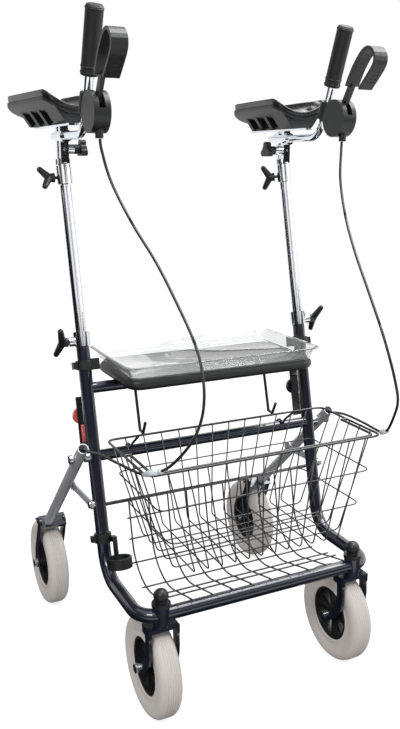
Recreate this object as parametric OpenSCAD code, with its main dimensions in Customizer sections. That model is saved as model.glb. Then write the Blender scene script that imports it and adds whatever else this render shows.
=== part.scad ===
// Upright walker with forearm troughs, folding rear legs, seat, tray and basket.
// Millimetres, floor at z = 0, the front of the walker faces -Y, left is -X.

/* [Frame] */
// Half distance between the two uprights
upright_x = 248; // [230:1:270]
// Outer diameter of the bent front frame tube
frame_d = 26; // [24:0.5:28]
// Backward lean of the uprights in degrees
lean = 13.2; // [10:0.2:16]
// Height of the upright tube ends
upright_top_z = 690; // [660:1:720]
// Distance of the upright tube end behind the origin
upright_top_y = 10; // [0:1:20]
// Height of the front bar axis
bar_z = 226; // [224:1:236]
// Distance of the front bar axis before the origin
bar_y = -278; // [-290:1:-270]
// Bend radius at the foot of each upright
foot_bend_r = 62; // [60:1:80]
// Bend radius at the front corners
corner_bend_r = 40; // [39:1:50]
// Diameter of the two cross tubes
cross_d = 22; // [18:0.5:24]
// Height of the cross tube that carries the rear legs
cross_z = 456; // [445:1:470]
// Height of the seat rail
rail_z = 586; // [580:1:595]

/* [Masts] */
// Outer diameter of the telescopic mast
mast_d = 22; // [20:0.5:22]
// Height of the mast top
mast_top_z = 1008; // [990:1:1030]
// Length of mast held inside the upright
mast_insert = 190; // [160:1:200]
// Bore of the mast that takes the arm stem
mast_bore_d = 17; // [14:0.5:18]

/* [Forearm supports] */
// Length of each trough
trough_len = 240; // [225:1:255]
// Half width of the trough
trough_hx = 60; // [57:0.5:63]
// Radius of the dished top of the arm pad
dish_r = 74; // [70:0.5:80]
// Thickness of the arm pad
pad_t = 10; // [8:0.5:12]
// Height of the lowest point of the pad over the foot of the trough
dip_h = 32; // [29:0.5:35]
// Wall of the trough shell
trough_wall = 4; // [3:0.5:5]
// Height of the support plate under the trough
plate_z = 1077; // [1072:1:1082]
// Diameter of the bent handle tube
handle_d = 16; // [14:0.5:18]
// Diameter of the hand grip
grip_d = 31; // [27:0.5:34]
// Length of the hand grip
grip_len = 112; // [100:1:120]
// Diameter of the brake housing
housing_d = 70; // [64:1:74]
// Thickness of the brake housing
housing_t = 30; // [26:1:34]

/* [Wheels] */
// Outer diameter of all four tyres
tyre_d = 196; // [188:1:198]
// Width of the tyres
tyre_w = 44; // [38:1:46]
// Outer diameter of the wheel rims
rim_d = 110; // [100:1:120]
// Diameter of the axles
axle_d = 10; // [8:0.5:12]
// Distance of the caster axle behind its stem
trail = 45; // [35:1:50]
// Half distance between the rear wheels
rear_wheel_x = 272; // [270:1:276]

/* [Rear legs] */
// Diameter of the rear leg tube
leg_d = 22; // [20:0.5:22]
// Half distance between the rear leg tubes
leg_x = 280; // [278:1:284]
// Length of leg tube below its pivot
leg_len = 345; // [335:1:350]
// Distance from the leg pivot to the stay pin
stay_pin_at = 140; // [130:1:150]

/* [Seat and basket] */
// Space between the axis of an upright and the side of the seat
seat_side_gap = 43; // [40:1:50]
// Depth of the seat
seat_depth = 194; // [180:1:204]
// Thickness of the seat
seat_t = 22; // [18:1:24]
// Height of the tray
tray_h = 25; // [20:1:30]
// Half width of the basket rim
basket_hx = 240; // [230:1:244]
// Half width of the basket floor
basket_floor_hx = 178; // [165:1:190]
// Height of the basket rim
basket_rim_z = 509; // [500:1:515]
// Height of the basket floor
basket_floor_z = 308; // [300:1:320]
// Width of the basket wires
wire_w = 3; // [2.5:0.5:4]

/* [Clearances] */
// Radial clearance of the running fits
run_clear = 0.05; // [0.03:0.01:0.09]
// Gap between neighbouring pieces that don't touch
part_gap = 0.3; // [0.3:0.05:0.5]
// Gap of pieces fastened round a tube
seat_clear = 0.02; // [0.02:0.01:0.05]

/* [Hidden] */
$fn = 48;
frame_r = frame_d / 2;
mast_r = mast_d / 2;
cross_r = cross_d / 2;
leg_r = leg_d / 2;
axle_r = axle_d / 2;
tyre_r = tyre_d / 2;
handle_r = handle_d / 2;
lean_dir = [0, sin(lean), cos(lean)];
function upright_y(z) = upright_top_y + (z - upright_top_z) * tan(lean);
function along(z) = (z - bar_z) / cos(lean);
foot = [upright_x, upright_y(bar_z), bar_z];
corner_mid = [upright_x - corner_bend_r, bar_y + corner_bend_r];
stem_x = 209;
stem_y = corner_mid[1] - sqrt(pow(corner_bend_r, 2) - pow(stem_x - corner_mid[0], 2));
axle_z = tyre_r;
stem_r = 7;
sleeve_r = 16;
sleeve_z0 = bar_z - frame_r;
sleeve_z1 = bar_z + 18;
cross_y = upright_y(cross_z);
rail_y = upright_y(rail_z);
rod_z = 361;
rod_y = upright_y(rod_z);
stay_z = 365;
stay_y = upright_y(stay_z);
leg_foot_z = tyre_d + 22.5;
leg_angle = acos((cross_z - leg_foot_z) / leg_len);
leg_dir = [0, sin(leg_angle), -cos(leg_angle)];
leg_pivot = [leg_x, cross_y, cross_z];
stay_pin = leg_pivot + stay_pin_at * leg_dir;
rear_axle_y = cross_y + leg_len * leg_dir[1] + 44.64;
mast_top_y = upright_y(mast_top_z);
mast_top = [upright_x, mast_top_y, mast_top_z];
tube_z = plate_z - 15;
grip_lean = 20.5;
grip_dir = [0, -sin(grip_lean), cos(grip_lean)];
handle_corner = [upright_x, -53, tube_z];
handle_bend_r = 45;
trough_y0 = 0;
trough_base = plate_z + 4;
dish_z = dip_h + dish_r;
shell_r = dish_r + pad_t + part_gap;
toe_out = 5;
housing_at = [upright_x, -118, tube_z + 34];
lever_at = [upright_x, -128, tube_z + 50];
seat_hx = upright_x - seat_side_gap;
seat_y0 = -136;
seat_z0 = rail_z + 16;
seat_z1 = seat_z0 + seat_t;
arm_x = tyre_w / 2 + 3;
arm_t = 5;
wall_gap = 0.2;
basket_y0 = -305;
basket_y1 = -105;
floor_y0 = -300;
floor_y1 = -94;
cable_r = 2.5;
cable_pts = [
    [247, -131, 1052], [247, -135, 1028], [243, -155, 980], [232, -195, 920],
    [213, -257, 840], [200, -325, 765], [192, -380, 700], [190, -410, 645],
    [194, -417, 600], [206, -400, 555], [222, -365, 531], [238, -324, 524],
    [250, -270, 523], [262, -200, 522], [272, -130, 512], [278, -92, 499], [280, -70, 480]];

// Pieces are drawn for the right side, the left ones are their mirror image.
module left() { mirror([1, 0, 0]) children(); }
module both() { children(); mirror([1, 0, 0]) children(); }
// Places a piece on the upright axis, a distance along it above the bar.
module on_upright(s) { translate(foot) rotate([-lean, 0, 0]) translate([0, 0, s]) children(); }
// A round bar from one point to another.
module rod(a, b, r) {
    v = b - a;
    translate(a) rotate([0, acos(v[2] / norm(v)), atan2(v[1], v[0])]) cylinder(h = norm(v), r = r);
}
// A bend between three points. It is a hair thicker than the rods that run into it.
bend_step = 0.05;
function bend_in(br) = min(1, br / 16);
function unit(v) = v / norm(v);
function bend_t(a, b, c, br) = br * tan(acos(unit(b - a) * unit(c - b)) / 2);
module bend(a, b, c, br, r) {
    u = unit(b - a);
    v = unit(c - b);
    ang = acos(u * v);
    t = br * tan(ang / 2);
    nrm = unit(v - u * cos(ang));
    mid = b - t * u + br * nrm;
    w = cross(-nrm, u);
    multmatrix([[-nrm[0], u[0], w[0], mid[0]], [-nrm[1], u[1], w[1], mid[1]],
        [-nrm[2], u[2], w[2], mid[2]], [0, 0, 0, 1]])
        rotate_extrude(angle = ang) translate([br, 0]) circle(r = r + bend_step);
}
// A bent round bar through a list of points with one bend radius.
module bent(p, br, r) {
    n = len(p);
    for (i = [0 : n - 2]) {
        d = unit(p[i + 1] - p[i]);
        t0 = i == 0 ? 0 : bend_t(p[i - 1], p[i], p[i + 1], br);
        t1 = i == n - 2 ? 0 : bend_t(p[i], p[i + 1], p[i + 2], br);
        rod(p[i] + max(0, t0 - bend_in(br)) * d, p[i + 1] - max(0, t1 - bend_in(br)) * d, r);
    }
    for (i = [1 : n - 2]) bend(p[i - 1], p[i], p[i + 1], br, r);
}
// A flat bar between two points of a drawing.
module strip(a, b, w) {
    d = (b - a) / norm(b - a);
    n = [-d[1], d[0]] * w / 2;
    polygon([a + n, b + n, b - n, a - n]);
}
// A chain of flat bars with round joints.
module band(p, w) {
    for (i = [0 : len(p) - 2]) strip(p[i], p[i + 1], w);
    for (q = p) translate(q) circle(d = w);
}
// Turns a drawing in Y and Z into a plate of a thickness along X, from x0.
module plate_yz(x0, t) { translate([x0, 0, 0]) rotate([90, 0, 90]) linear_extrude(height = t) children(); }
// A slab with half round edges and rounded corners, its middle at the origin.
module pillow(hx, hy, cr, r) {
    cube([2 * (hx - cr), 2 * (hy - r), 2 * r], center = true);
    cube([2 * (hx - r), 2 * (hy - cr), 2 * r], center = true);
    for (sx = [-1, 1]) {
        translate([sx * (hx - r), -(hy - cr), 0]) rotate([-90, 0, 0]) cylinder(r = r, h = 2 * (hy - cr));
        for (sy = [-1, 1]) translate([sx * (hx - cr), sy * (hy - cr), 0]) {
            cylinder(r = cr - r, h = 2 * r, center = true);
            rotate_extrude() translate([cr - r, 0]) circle(r = r);
        }
    }
    for (sy = [-1, 1]) translate([-(hx - cr), sy * (hy - r), 0]) rotate([0, 90, 0])
        cylinder(r = r, h = 2 * (hx - cr));
}
// A T shaped knob: screw from the origin along +Z, boss, and two tapered arms that sweep outwards.
module t_knob(screw_r, screw_l, arm_l, sweep) {
    cylinder(r = screw_r, h = screw_l);
    translate([0, 0, screw_l - 2]) cylinder(r1 = 9, r2 = 8, h = 10);
    translate([0, 0, screw_l + 8]) sphere(r = 8);
    for (k = [-1, 1]) translate([0, 0, screw_l + 8]) rotate([k * (sweep - 90), 0, 0]) {
        cylinder(r1 = 7.8, r2 = 5.5, h = arm_l);
        translate([0, 0, arm_l]) sphere(r = 5.5);
    }
}

// Frame pieces.
frame_path = [foot + along(upright_top_z) * lean_dir, foot, [upright_x, bar_y, bar_z], [0, bar_y, bar_z]];
knob_s = along(upright_top_z) - 14;
module half_frame() {
    t = bend_t(frame_path[0], frame_path[1], frame_path[2], foot_bend_r) - bend_in(foot_bend_r);
    c = corner_bend_r - bend_in(corner_bend_r);
    rod(foot + t * lean_dir, frame_path[0], frame_r);
    bend(frame_path[0], frame_path[1], frame_path[2], foot_bend_r, frame_r);
    rod(foot - [0, t, 0], [upright_x, bar_y + c, bar_z], frame_r);
    bend(frame_path[1], frame_path[2], frame_path[3], corner_bend_r, frame_r);
    translate([stem_x, stem_y, sleeve_z0]) cylinder(r = sleeve_r, h = sleeve_z1 - sleeve_z0);
}
module front_frame() {
    color("#1c2233") difference() {
        union() {
            both() half_frame();
            bar_x = corner_mid[0] + bend_in(corner_bend_r);
            rod([-bar_x, bar_y, bar_z], [bar_x, bar_y, bar_z], frame_r);
        }
        both() {
            on_upright(along(upright_top_z) - mast_insert - 160)
                cylinder(r = mast_r + run_clear, h = mast_insert + 170);
            translate([stem_x, stem_y, sleeve_z0 - 1])
                cylinder(r = stem_r + run_clear, h = sleeve_z1 - sleeve_z0 + 2);
            on_upright(knob_s) rotate([0, 90, 0]) cylinder(r = 4.4, h = 30);
        }
    }
}
module upright_cut() { both() on_upright(60) cylinder(r = frame_r + seat_clear, h = along(upright_top_z)); }
module cross_tubes() {
    color("#1c2233") difference() {
        for (p = [[cross_y, cross_z], [rail_y, rail_z]])
            rod([-upright_x, p[0], p[1]], [upright_x, p[0], p[1]], cross_r);
        upright_cut();
    }
}
module shelf_rod() {
    color("#2b2e36") difference() {
        rod([-upright_x, rod_y, rod_z], [upright_x, rod_y, rod_z], 3.5);
        upright_cut();
    }
}
shelf_r = 1.6;
shelf_lap = 2 * shelf_r + 0.05;
shelf_weld = 2 * shelf_r - 0.3;
shelf_hx = upright_x - 52;
shelf_bend = 85;
shelf_top = [0, rod_y - 3.5 - shelf_r - 0.05, rod_z - 4];
shelf_low = [0, -108, 194];
shelf_end = [0, bar_y + 12.5, bar_z + 11];
module cross_wire(p) { rod(p - [shelf_hx, 0, 0], p + [shelf_hx, 0, 0], shelf_r); }
module wire_shelf() {
    d = unit(shelf_low - shelf_top);
    e = unit(shelf_end - shelf_low);
    u = unit(e - d);
    mid = shelf_low + u * shelf_bend / sqrt((1 + e * d) / 2);
    color("#22252c") {
        for (i = [-4.5 : 1 : 4.5]) translate([i * (shelf_hx - 7) / 4.5, 0, 0])
            bent([shelf_top + [0, 0, 6], shelf_low, shelf_end], shelf_bend, shelf_r);
        for (k = [30, 72]) cross_wire(shelf_top + k * d + shelf_lap * [0, d[2], -d[1]]);
        for (k = [-20, 18]) cross_wire(mid - (shelf_bend + shelf_weld) * [0, u[1] * cos(k) - u[2] * sin(k),
            u[1] * sin(k) + u[2] * cos(k)]);
        for (k = [110, 138]) cross_wire(shelf_low + k * e + shelf_lap * [0, e[2], -e[1]]);
    }
}
module stem_caps() {
    color("#15161a") both() translate([stem_x, stem_y, sleeve_z1 + seat_clear]) {
        cylinder(r = sleeve_r + 1.5, h = 7);
        translate([0, 0, 6]) cylinder(r = 11, h = 8);
        translate([0, 0, 20]) sphere(r = 14);
    }
}
module mast_collars() {
    color("#c9ccd2") both() on_upright(along(upright_top_z) - 24) difference() {
        union() {
            cylinder(r = frame_r + 4, h = 28);
            translate([0, 0, 10]) rotate([0, 90, 0]) cylinder(r = 9, h = frame_r + 14);
        }
        translate([0, 0, -1]) cylinder(r = frame_r + seat_clear, h = 25 + seat_clear);
        cylinder(r = mast_r + part_gap, h = 50);
        translate([0, 0, 10]) rotate([0, 90, 0]) cylinder(r = 4 + run_clear, h = 50);
    }
}
module seat_guides() {
    color("#17181c") both() on_upright(along(seat_z1 - 2)) difference() {
        union() {
            cylinder(r = frame_r + 4, h = 18);
            translate([-frame_r - 14, -12, -2]) cube([16, 24, 22]);
            translate([frame_r + 1, -7, 2]) cube([10, 14, 14]);
        }
        translate([0, 0, -5]) cylinder(r = frame_r + seat_clear, h = 50);
    }
}
cane_at = [-14, -46, -44];
cane_bore_r = 20.5;
module cane_holder() {
    color("#17181c") left() on_upright(66) difference() {
        union() {
            cylinder(r = frame_r + 4, h = 18);
            translate([frame_r + 1, -6, 3]) cube([10, 12, 12]);
            translate([-20, -27, 2]) cube([9, 16, 10]);
            translate([-20, -27, cane_at[2]]) cube([8, 6, 56]);
            translate(cane_at) cylinder(r = cane_bore_r + 3.5, h = 20);
        }
        translate([0, 0, -5]) cylinder(r = frame_r + seat_clear, h = 50);
        translate(cane_at - [0, 0, 2]) cylinder(r = cane_bore_r, h = 24);
    }
}
module bag_hooks() {
    color("#1b1c21") both() translate([149, rail_y, rail_z]) difference() {
        union() {
            translate([-5, 0, 0]) rotate([0, 90, 0]) cylinder(r = cross_r + 4, h = 10);
            rod([0, -4, -13], [0, -26, -92], 3);
            rod([0, -26, -92], [0, -42, -94], 3);
            rod([0, -42, -94], [0, -54, -70], 3);
            for (q = [[-26, -92], [-42, -94], [-54, -70]]) translate([0, q[0], q[1]]) sphere(r = 3.4);
        }
        translate([-9, 0, 0]) rotate([0, 90, 0]) cylinder(r = cross_r + seat_clear, h = 18);
    }
}
module reflector_bars() {
    color("#8d9097") both() on_upright(along(cross_z) + 16) difference() {
        union() {
            translate([-6, 44, -4]) cube([18, 4, 104]);
            for (k = [4, 88]) rod([0, 0, k], [0, 46, k], 4);
            translate([3, 48, 62]) rotate([-90, 0, 0]) cylinder(r = 17, h = 6);
        }
        translate([0, 0, -40]) cylinder(r = frame_r + seat_clear, h = 200);
    }
}
module pivot_bolts() {
    color("#b9bcc2") difference() {
        both() {
            rod([upright_x, cross_y, cross_z], [leg_x + leg_r + 3, cross_y, cross_z], 5);
            rod([upright_x, cross_y, cross_z], [leg_x - leg_r - part_gap, cross_y, cross_z], 9.5);
            rod([leg_x + leg_r + 2, cross_y, cross_z], [leg_x + leg_r + 8, cross_y, cross_z], 9);
            rod([upright_x, stay_y, stay_z], [leg_x - leg_r - 1.5, stay_y, stay_z], 4);
            rod([upright_x, stay_y, stay_z], [stay_x0 - part_gap, stay_y, stay_z], 8);
            rod([stay_x0 + stay_t + part_gap, stay_y, stay_z], [stay_x0 + stay_t + 4, stay_y, stay_z], 7);
        }
        upright_cut();
    }
}

// Brake cables: one smooth round sweep through the chosen points.
function pick(p, i) = p[max(0, min(len(p) - 1, i))];
function curve(a, b, c, d, t) = 0.5 * (2 * b + (c - a) * t + (2 * a - 5 * b + 4 * c - d) * t * t
    + (3 * b - a - 3 * c + d) * t * t * t);
cable_line = [for (i = [0 : len(cable_pts) - 2]) for (t = [0, 0.5])
    curve(pick(cable_pts, i - 1), cable_pts[i], cable_pts[i + 1], pick(cable_pts, i + 2), t),
    cable_pts[len(cable_pts) - 1]];
function tangent(p, i) = unit(pick(p, i + 1) - pick(p, i - 1));
module sweep(p, r) {
    n = len(p);
    pts = [for (i = [0 : n - 1]) let (t = tangent(p, i), u = unit(cross(t, [1, 0, 0])), w = cross(t, u))
        for (k = [0 : 7]) p[i] + r * (cos(k * 45) * u + sin(k * 45) * w)];
    quads = [for (i = [0 : n - 2]) for (k = [0 : 7])
        [i * 8 + k, i * 8 + (k + 1) % 8, (i + 1) * 8 + (k + 1) % 8, (i + 1) * 8 + k]];
    tris = [for (q = quads) each [[q[0], q[2], q[1]], [q[0], q[3], q[2]]]];
    polyhedron(pts, concat(tris, [[for (k = [0 : 7]) k]], [[for (k = [7 : -1 : 0]) (n - 1) * 8 + k]]));
}
module brake_cables() {
    color("#141518") both() sweep(cable_line, cable_r);
}

// Seat, tray and basket.
lug_x = 110;
module seat() {
    color("#1d1e22") translate([0, 0, seat_z0]) difference() {
        union() {
            translate([0, seat_y0 + seat_depth / 2, seat_t / 2])
                pillow(seat_hx, seat_depth / 2, 30, seat_t / 2);
            for (k = [-1, 1]) translate([k * lug_x - 12, rail_y, 0]) {
                translate([0, 0, rail_z - seat_z0]) rotate([0, 90, 0]) cylinder(r = cross_r + 4, h = 24);
                translate([0, -cross_r - 4, rail_z - seat_z0]) cube([24, 2 * cross_r + 8, 20]);
            }
        }
        for (k = [-1, 1]) translate([k * lug_x - 20, rail_y, rail_z - seat_z0]) {
            rotate([0, 90, 0]) cylinder(r = cross_r + run_clear, h = 40);
            translate([0, -8, -30]) cube([40, 16, 30]);
        }
        for (k = [-1, 1]) for (i = [0 : 7]) translate([k * (seat_hx - 17), seat_y0 + 36 + i * 17, seat_t])
            cube([14, 7, 6], center = true);
    }
}
// A box that widens upward, from two half sizes.
module flare(ax, ay, bx, by, h) {
    polyhedron([[-ax, -ay, 0], [ax, -ay, 0], [ax, ay, 0], [-ax, ay, 0],
        [-bx, -by, h], [bx, -by, h], [bx, by, h], [-bx, by, h]],
        [[0, 1, 2, 3], [4, 7, 6, 5], [0, 4, 5, 1], [1, 5, 6, 2], [2, 6, 7, 3], [3, 7, 4, 0]]);
}
tray_hx = seat_hx - 8;
tray_hy = 104;
tray_wall = 2.5;
tray_y = seat_y0 + seat_depth / 2 + 10;
module tray() {
    color("#dfe6ea", 0.4) translate([0, tray_y, seat_z1]) difference() {
        union() {
            flare(tray_hx, tray_hy, tray_hx + 8, tray_hy + 6, tray_h);
            translate([-tray_hx - 16, -tray_hy - 12, tray_h - 3])
                cube([2 * tray_hx + 32, 2 * tray_hy + 24, 3]);
        }
        translate([0, 0, tray_wall]) flare(tray_hx - tray_wall, tray_hy - tray_wall,
            tray_hx + 8 - tray_wall, tray_hy + 6 - tray_wall, tray_h);
    }
}
// A flat wire net in a trapezium: half widths at foot and head, height and wire counts.
module net(b, a, h, nv, nh, head) {
    for (i = [0 : nv]) strip([-b + 2 * b * i / nv, 0], [-a + 2 * a * i / nv, h], wire_w);
    for (j = [0 : nh]) {
        f = j / nh;
        w = j == nh ? head : wire_w;
        hw = b + (a - b) * f + wire_w / 2;
        translate([-hw, h * f - (j == nh ? head : j == 0 ? 0 : w / 2)]) square([2 * hw, w]);
    }
}
wall_h = basket_rim_z - basket_floor_z;
front_slant = sqrt(pow(wall_h, 2) + pow(basket_y0 - floor_y0, 2));
rear_slant = sqrt(pow(wall_h, 2) + pow(basket_y1 - floor_y1, 2));
side_slant = sqrt(pow(wall_h, 2) + pow(basket_hx - basket_floor_hx, 2));
module basket() {
    color("#1a1b20") {
        translate([0, (floor_y0 + floor_y1) / 2, basket_floor_z - wire_w - wall_gap])
            linear_extrude(height = wire_w) translate([0, -(floor_y1 - floor_y0) / 2])
                net(basket_floor_hx, basket_floor_hx, floor_y1 - floor_y0, 9, 6, wire_w);
        translate([0, floor_y0, basket_floor_z]) rotate([90 - atan2(basket_y0 - floor_y0, wall_h), 0, 0])
            linear_extrude(height = wire_w) net(basket_floor_hx, basket_hx, front_slant, 12, 4, 6);
        rear_panel();
        both() side_panel();
    }
}
module rear_panel() {
    tilt = -atan2(basket_y1 - floor_y1, wall_h);
    translate([0, floor_y1, basket_floor_z]) rotate([90 + tilt, 0, 0]) translate([0, 0, -wire_w])
        linear_extrude(height = wire_w) net(basket_floor_hx, basket_hx, rear_slant, 12, 4, 6);
    for (k = [-1, 1]) difference() {
        plate_yz(k * 90 - 6, 12) {
            band([[basket_y1 + 1, basket_rim_z - 4], [cross_y - 14, cross_z + 22]], 4);
            difference() {
                translate([cross_y, cross_z]) circle(r = cross_r + part_gap + 4);
                translate([cross_y - 50, cross_z - 100]) square(100);
            }
            translate([cross_y - 18, cross_z + 5]) square([10, 19]);
        }
        rod([-200, cross_y, cross_z], [200, cross_y, cross_z], cross_r + part_gap);
    }
}
// The side walls lean outward and stand between the front and the rear one.
module side_panel() {
    y0 = floor_y0 + wire_w / 2 + wall_gap;
    y1 = floor_y1 - wire_w / 2 - wall_gap;
    y2 = basket_y1 - wire_w / 2 - wall_gap;
    y3 = basket_y0 + wire_w / 2 + wall_gap;
    turn = atan2(basket_hx - basket_floor_hx, wall_h);
    n = 5;
    translate([basket_floor_hx + wire_w + wall_gap, 0, basket_floor_z]) rotate([90, 0, 90])
        rotate([turn, 0, 0]) linear_extrude(height = wire_w) {
            for (i = [0 : n])
                strip([y0 + (y1 - y0) * i / n, 0], [y3 + (y2 - y3) * i / n, side_slant], wire_w);
            for (j = [0 : 4]) {
                f = j / 4;
                a = y0 + (y3 - y0) * f;
                b = y1 + (y2 - y1) * f;
                h = j == 4 ? 6 : wire_w;
                translate([a - wire_w / 2, side_slant * f - (j == 4 ? 6 : j == 0 ? 0 : h / 2)])
                    square([b - a + wire_w, h]);
            }
        }
}
bail_y = -195;
bail_z = basket_rim_z - 3;
bail_x = basket_hx - 10;
side_foot_x = basket_floor_hx + wire_w + wall_gap;
wall_slope = (basket_hx - basket_floor_hx) / wall_h;
bail_pin_r = 2.9;
bail_wall_x = side_foot_x + wall_slope * (bail_z - basket_floor_z);
bail_pin_x = bail_wall_x - wall_slope * bail_pin_r - 1.3 * part_gap;
module basket_bail() {
    color("#1a1b20") {
        bent([[-bail_x, bail_y, bail_z], [-bail_x, basket_y0 + 6, bail_z],
            [bail_x, basket_y0 + 6, bail_z], [bail_x, bail_y, bail_z]], 14, 2.5);
        both() rod([bail_x - 2, bail_y, bail_z], [bail_pin_x, bail_y, bail_z], bail_pin_r);
    }
}

// Pieces of one side.
module mast() {
    color("#d4d7dc") on_upright(along(upright_top_z) - mast_insert) difference() {
        top = along(mast_top_z) - along(upright_top_z) + mast_insert;
        union() {
            cylinder(r = mast_r, h = top);
            translate([0, 0, top - 38]) cylinder(r = mast_r + 4, h = 36);
        }
        translate([0, 0, -1]) cylinder(d = mast_bore_d, h = top + 2);
        children();
    }
}
module knob_hole(turn) {
    top = along(mast_top_z) - along(upright_top_z) + mast_insert;
    translate([0, 0, top - 24]) rotate([0, 0, turn]) rotate([0, 90, 0]) cylinder(r = 3 + run_clear, h = 40);
}
left_turn = 0;
right_turn = 150;
module left_mast() { left() mast() knob_hole(left_turn); }
module right_mast() { mast() knob_hole(right_turn); }
module top_knob(turn) {
    color("#17181c") on_upright(along(mast_top_z) - 24) rotate([0, 0, turn]) rotate([0, 90, 0])
        translate([0, 0, mast_bore_d / 2 + part_gap]) rotate([0, 0, 55]) t_knob(3, 14, 26, 30);
}
module left_top_knob() { left() top_knob(left_turn); }
module right_top_knob() { top_knob(right_turn); }
module collar_knob() {
    color("#17181c") on_upright(knob_s) rotate([0, 90, 0]) translate([0, 0, mast_r + part_gap])
        rotate([0, 0, 139]) t_knob(4, 20, 33, 14);
}
module left_collar_knob() { left() collar_knob(); }
module right_collar_knob() { collar_knob(); }
sleeve_y0 = mast_top_y - 26;
sleeve_y1 = mast_top_y + 30;
module arm_bracket() {
    color("#c4c7cd") difference() {
        union() {
            translate(mast_top) rotate([-lean, 0, 0]) translate([0, 0, -60])
                cylinder(r = mast_bore_d / 2 - run_clear, h = 70);
            translate(mast_top) rotate([-lean, 0, 0]) translate([0, 0, part_gap]) cylinder(r = 15, h = 10);
            for (k = [-1, 1]) translate([upright_x - 8, mast_top_y + 2 + k * 11 - 5, mast_top_z + 4])
                cube([16, 10, plate_z - mast_top_z - 4]);
            rod([upright_x, sleeve_y0, tube_z], [upright_x, sleeve_y1, tube_z], handle_r + 4);
            translate([upright_x - 24, -40, plate_z]) cube([48, 230, 4 - part_gap]);
            rod([upright_x - 22, mast_top_y + 2, mast_top_z + 30],
                [upright_x, mast_top_y + 2, mast_top_z + 30], 9);
        }
        rod([upright_x, sleeve_y0 - 5, tube_z], [upright_x, sleeve_y1 + 5, tube_z], handle_r + run_clear);
        rod([upright_x - 40, mast_top_y + 2, mast_top_z + 30],
            [upright_x + 20, mast_top_y + 2, mast_top_z + 30], 4 + run_clear);
        for (k = [-1, 1]) translate([upright_x, mast_top_y + 2 + k * 11, mast_top_z + 30])
            rotate([90, 0, 0]) cylinder(r = 3, h = 14, center = true);
    }
}
module clamp_knob() {
    color("#17181c") translate([upright_x + 8, mast_top_y + 2, mast_top_z + 30]) rotate([0, -90, 0]) {
        cylinder(r = 4, h = 40);
        translate([0, 0, 30 + part_gap]) cylinder(r = 9, h = 12);
        translate([0, 0, 42]) for (k = [0, 120, 240]) rotate([0, 0, k]) translate([11, 0, 0])
            cylinder(r = 7, h = 12);
        translate([0, 0, 42]) cylinder(r = 11, h = 12);
    }
}
// A round core along the trough, and a slab with rounded corners, both from the foot of the trough.
module dish(r) { translate([0, -20, dish_z]) rotate([-90, 0, 0]) cylinder(r = r, h = trough_len + 40); }
module plan(hx, y0, l, r) {
    translate([0, y0, -5]) linear_extrude(height = 80) {
        translate([-hx + r, 0]) square([2 * (hx - r), l]);
        translate([-hx, r]) square([2 * hx, l - 2 * r]);
        for (x = [-1, 1]) for (y = [r, l - r]) translate([x * (hx - r), y]) circle(r = r);
    }
}
module toed() {
    translate([upright_x, 80, trough_base]) rotate([0, 0, -toe_out])
        translate([0, trough_y0 - 80, 0]) children();
}
// A cross rib from the foot up to the middle of the shell.
module rib(y0, l) {
    difference() {
        translate([0, y0 + l, 0]) rotate([90, 0, 0]) linear_extrude(height = l)
            polygon([[-22, 0], [22, 0], [trough_hx - 6, 46], [-trough_hx + 6, 46]]);
        dish(shell_r + trough_wall / 2);
    }
}
module trough() {
    color("#15161a") toed() {
        intersection() {
            difference() {
                dish(shell_r + trough_wall);
                dish(shell_r);
            }
            plan(trough_hx, 0, trough_len, 26);
        }
        rib(3, 58);
        rib(92, 13);
        rib(140, 13);
        rib(188, 13);
        translate([-20, 5, 0]) cube([40, 194, 5]);
    }
}
module arm_pad() {
    color("#101114") toed() intersection() {
        difference() {
            dish(dish_r + pad_t);
            dish(dish_r);
        }
        plan(trough_hx - 2, 3, trough_len - 6, 24);
    }
}
grip_top = handle_corner + 209 * grip_dir;
module handle_tube() {
    color("#d4d7dc") bent([[upright_x, 138, tube_z], handle_corner, grip_top], handle_bend_r, handle_r);
}
module along_grip(s) { translate(handle_corner + s * grip_dir) rotate([grip_lean, 0, 0]) children(); }
module hand_grip() {
    color("#15161a") along_grip(214 - grip_len) difference() {
        union() {
            cylinder(r = grip_d / 2, h = grip_len - 3);
            translate([0, 0, grip_len - 3]) cylinder(r1 = grip_d / 2, r2 = grip_d / 2 - 2.5, h = 3);
            for (k = [4, 14, grip_len - 6]) translate([0, 0, k]) rotate_extrude()
                translate([grip_d / 2 - 1, 0]) circle(r = 2);
        }
        translate([0, 0, -1]) cylinder(r = handle_r + seat_clear, h = grip_len - 3);
    }
}
module brake_housing() {
    color("#15161a") union() {
        difference() {
        union() {
            translate(housing_at) rotate([0, 90, 0]) cylinder(d = housing_d, h = housing_t, center = true);
            along_grip(38) cylinder(r = handle_r + 6, h = 34);
            translate([upright_x - 11, housing_at[1], tube_z + 30]) cube([22, 52, 24]);
            translate([upright_x, cable_pts[0][1], cable_pts[0][2] + 0.7]) cylinder(r = 7, h = 26);
        }
        along_grip(20) cylinder(r = handle_r + seat_clear, h = 80);
        translate([upright_x - 5.5, lever_at[1] - 40, lever_at[2] - 11]) cube([11, 60, 60]);
        }
        translate(lever_at) rotate([0, 90, 0]) cylinder(r = 3, h = 16, center = true);
    }
}
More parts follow.
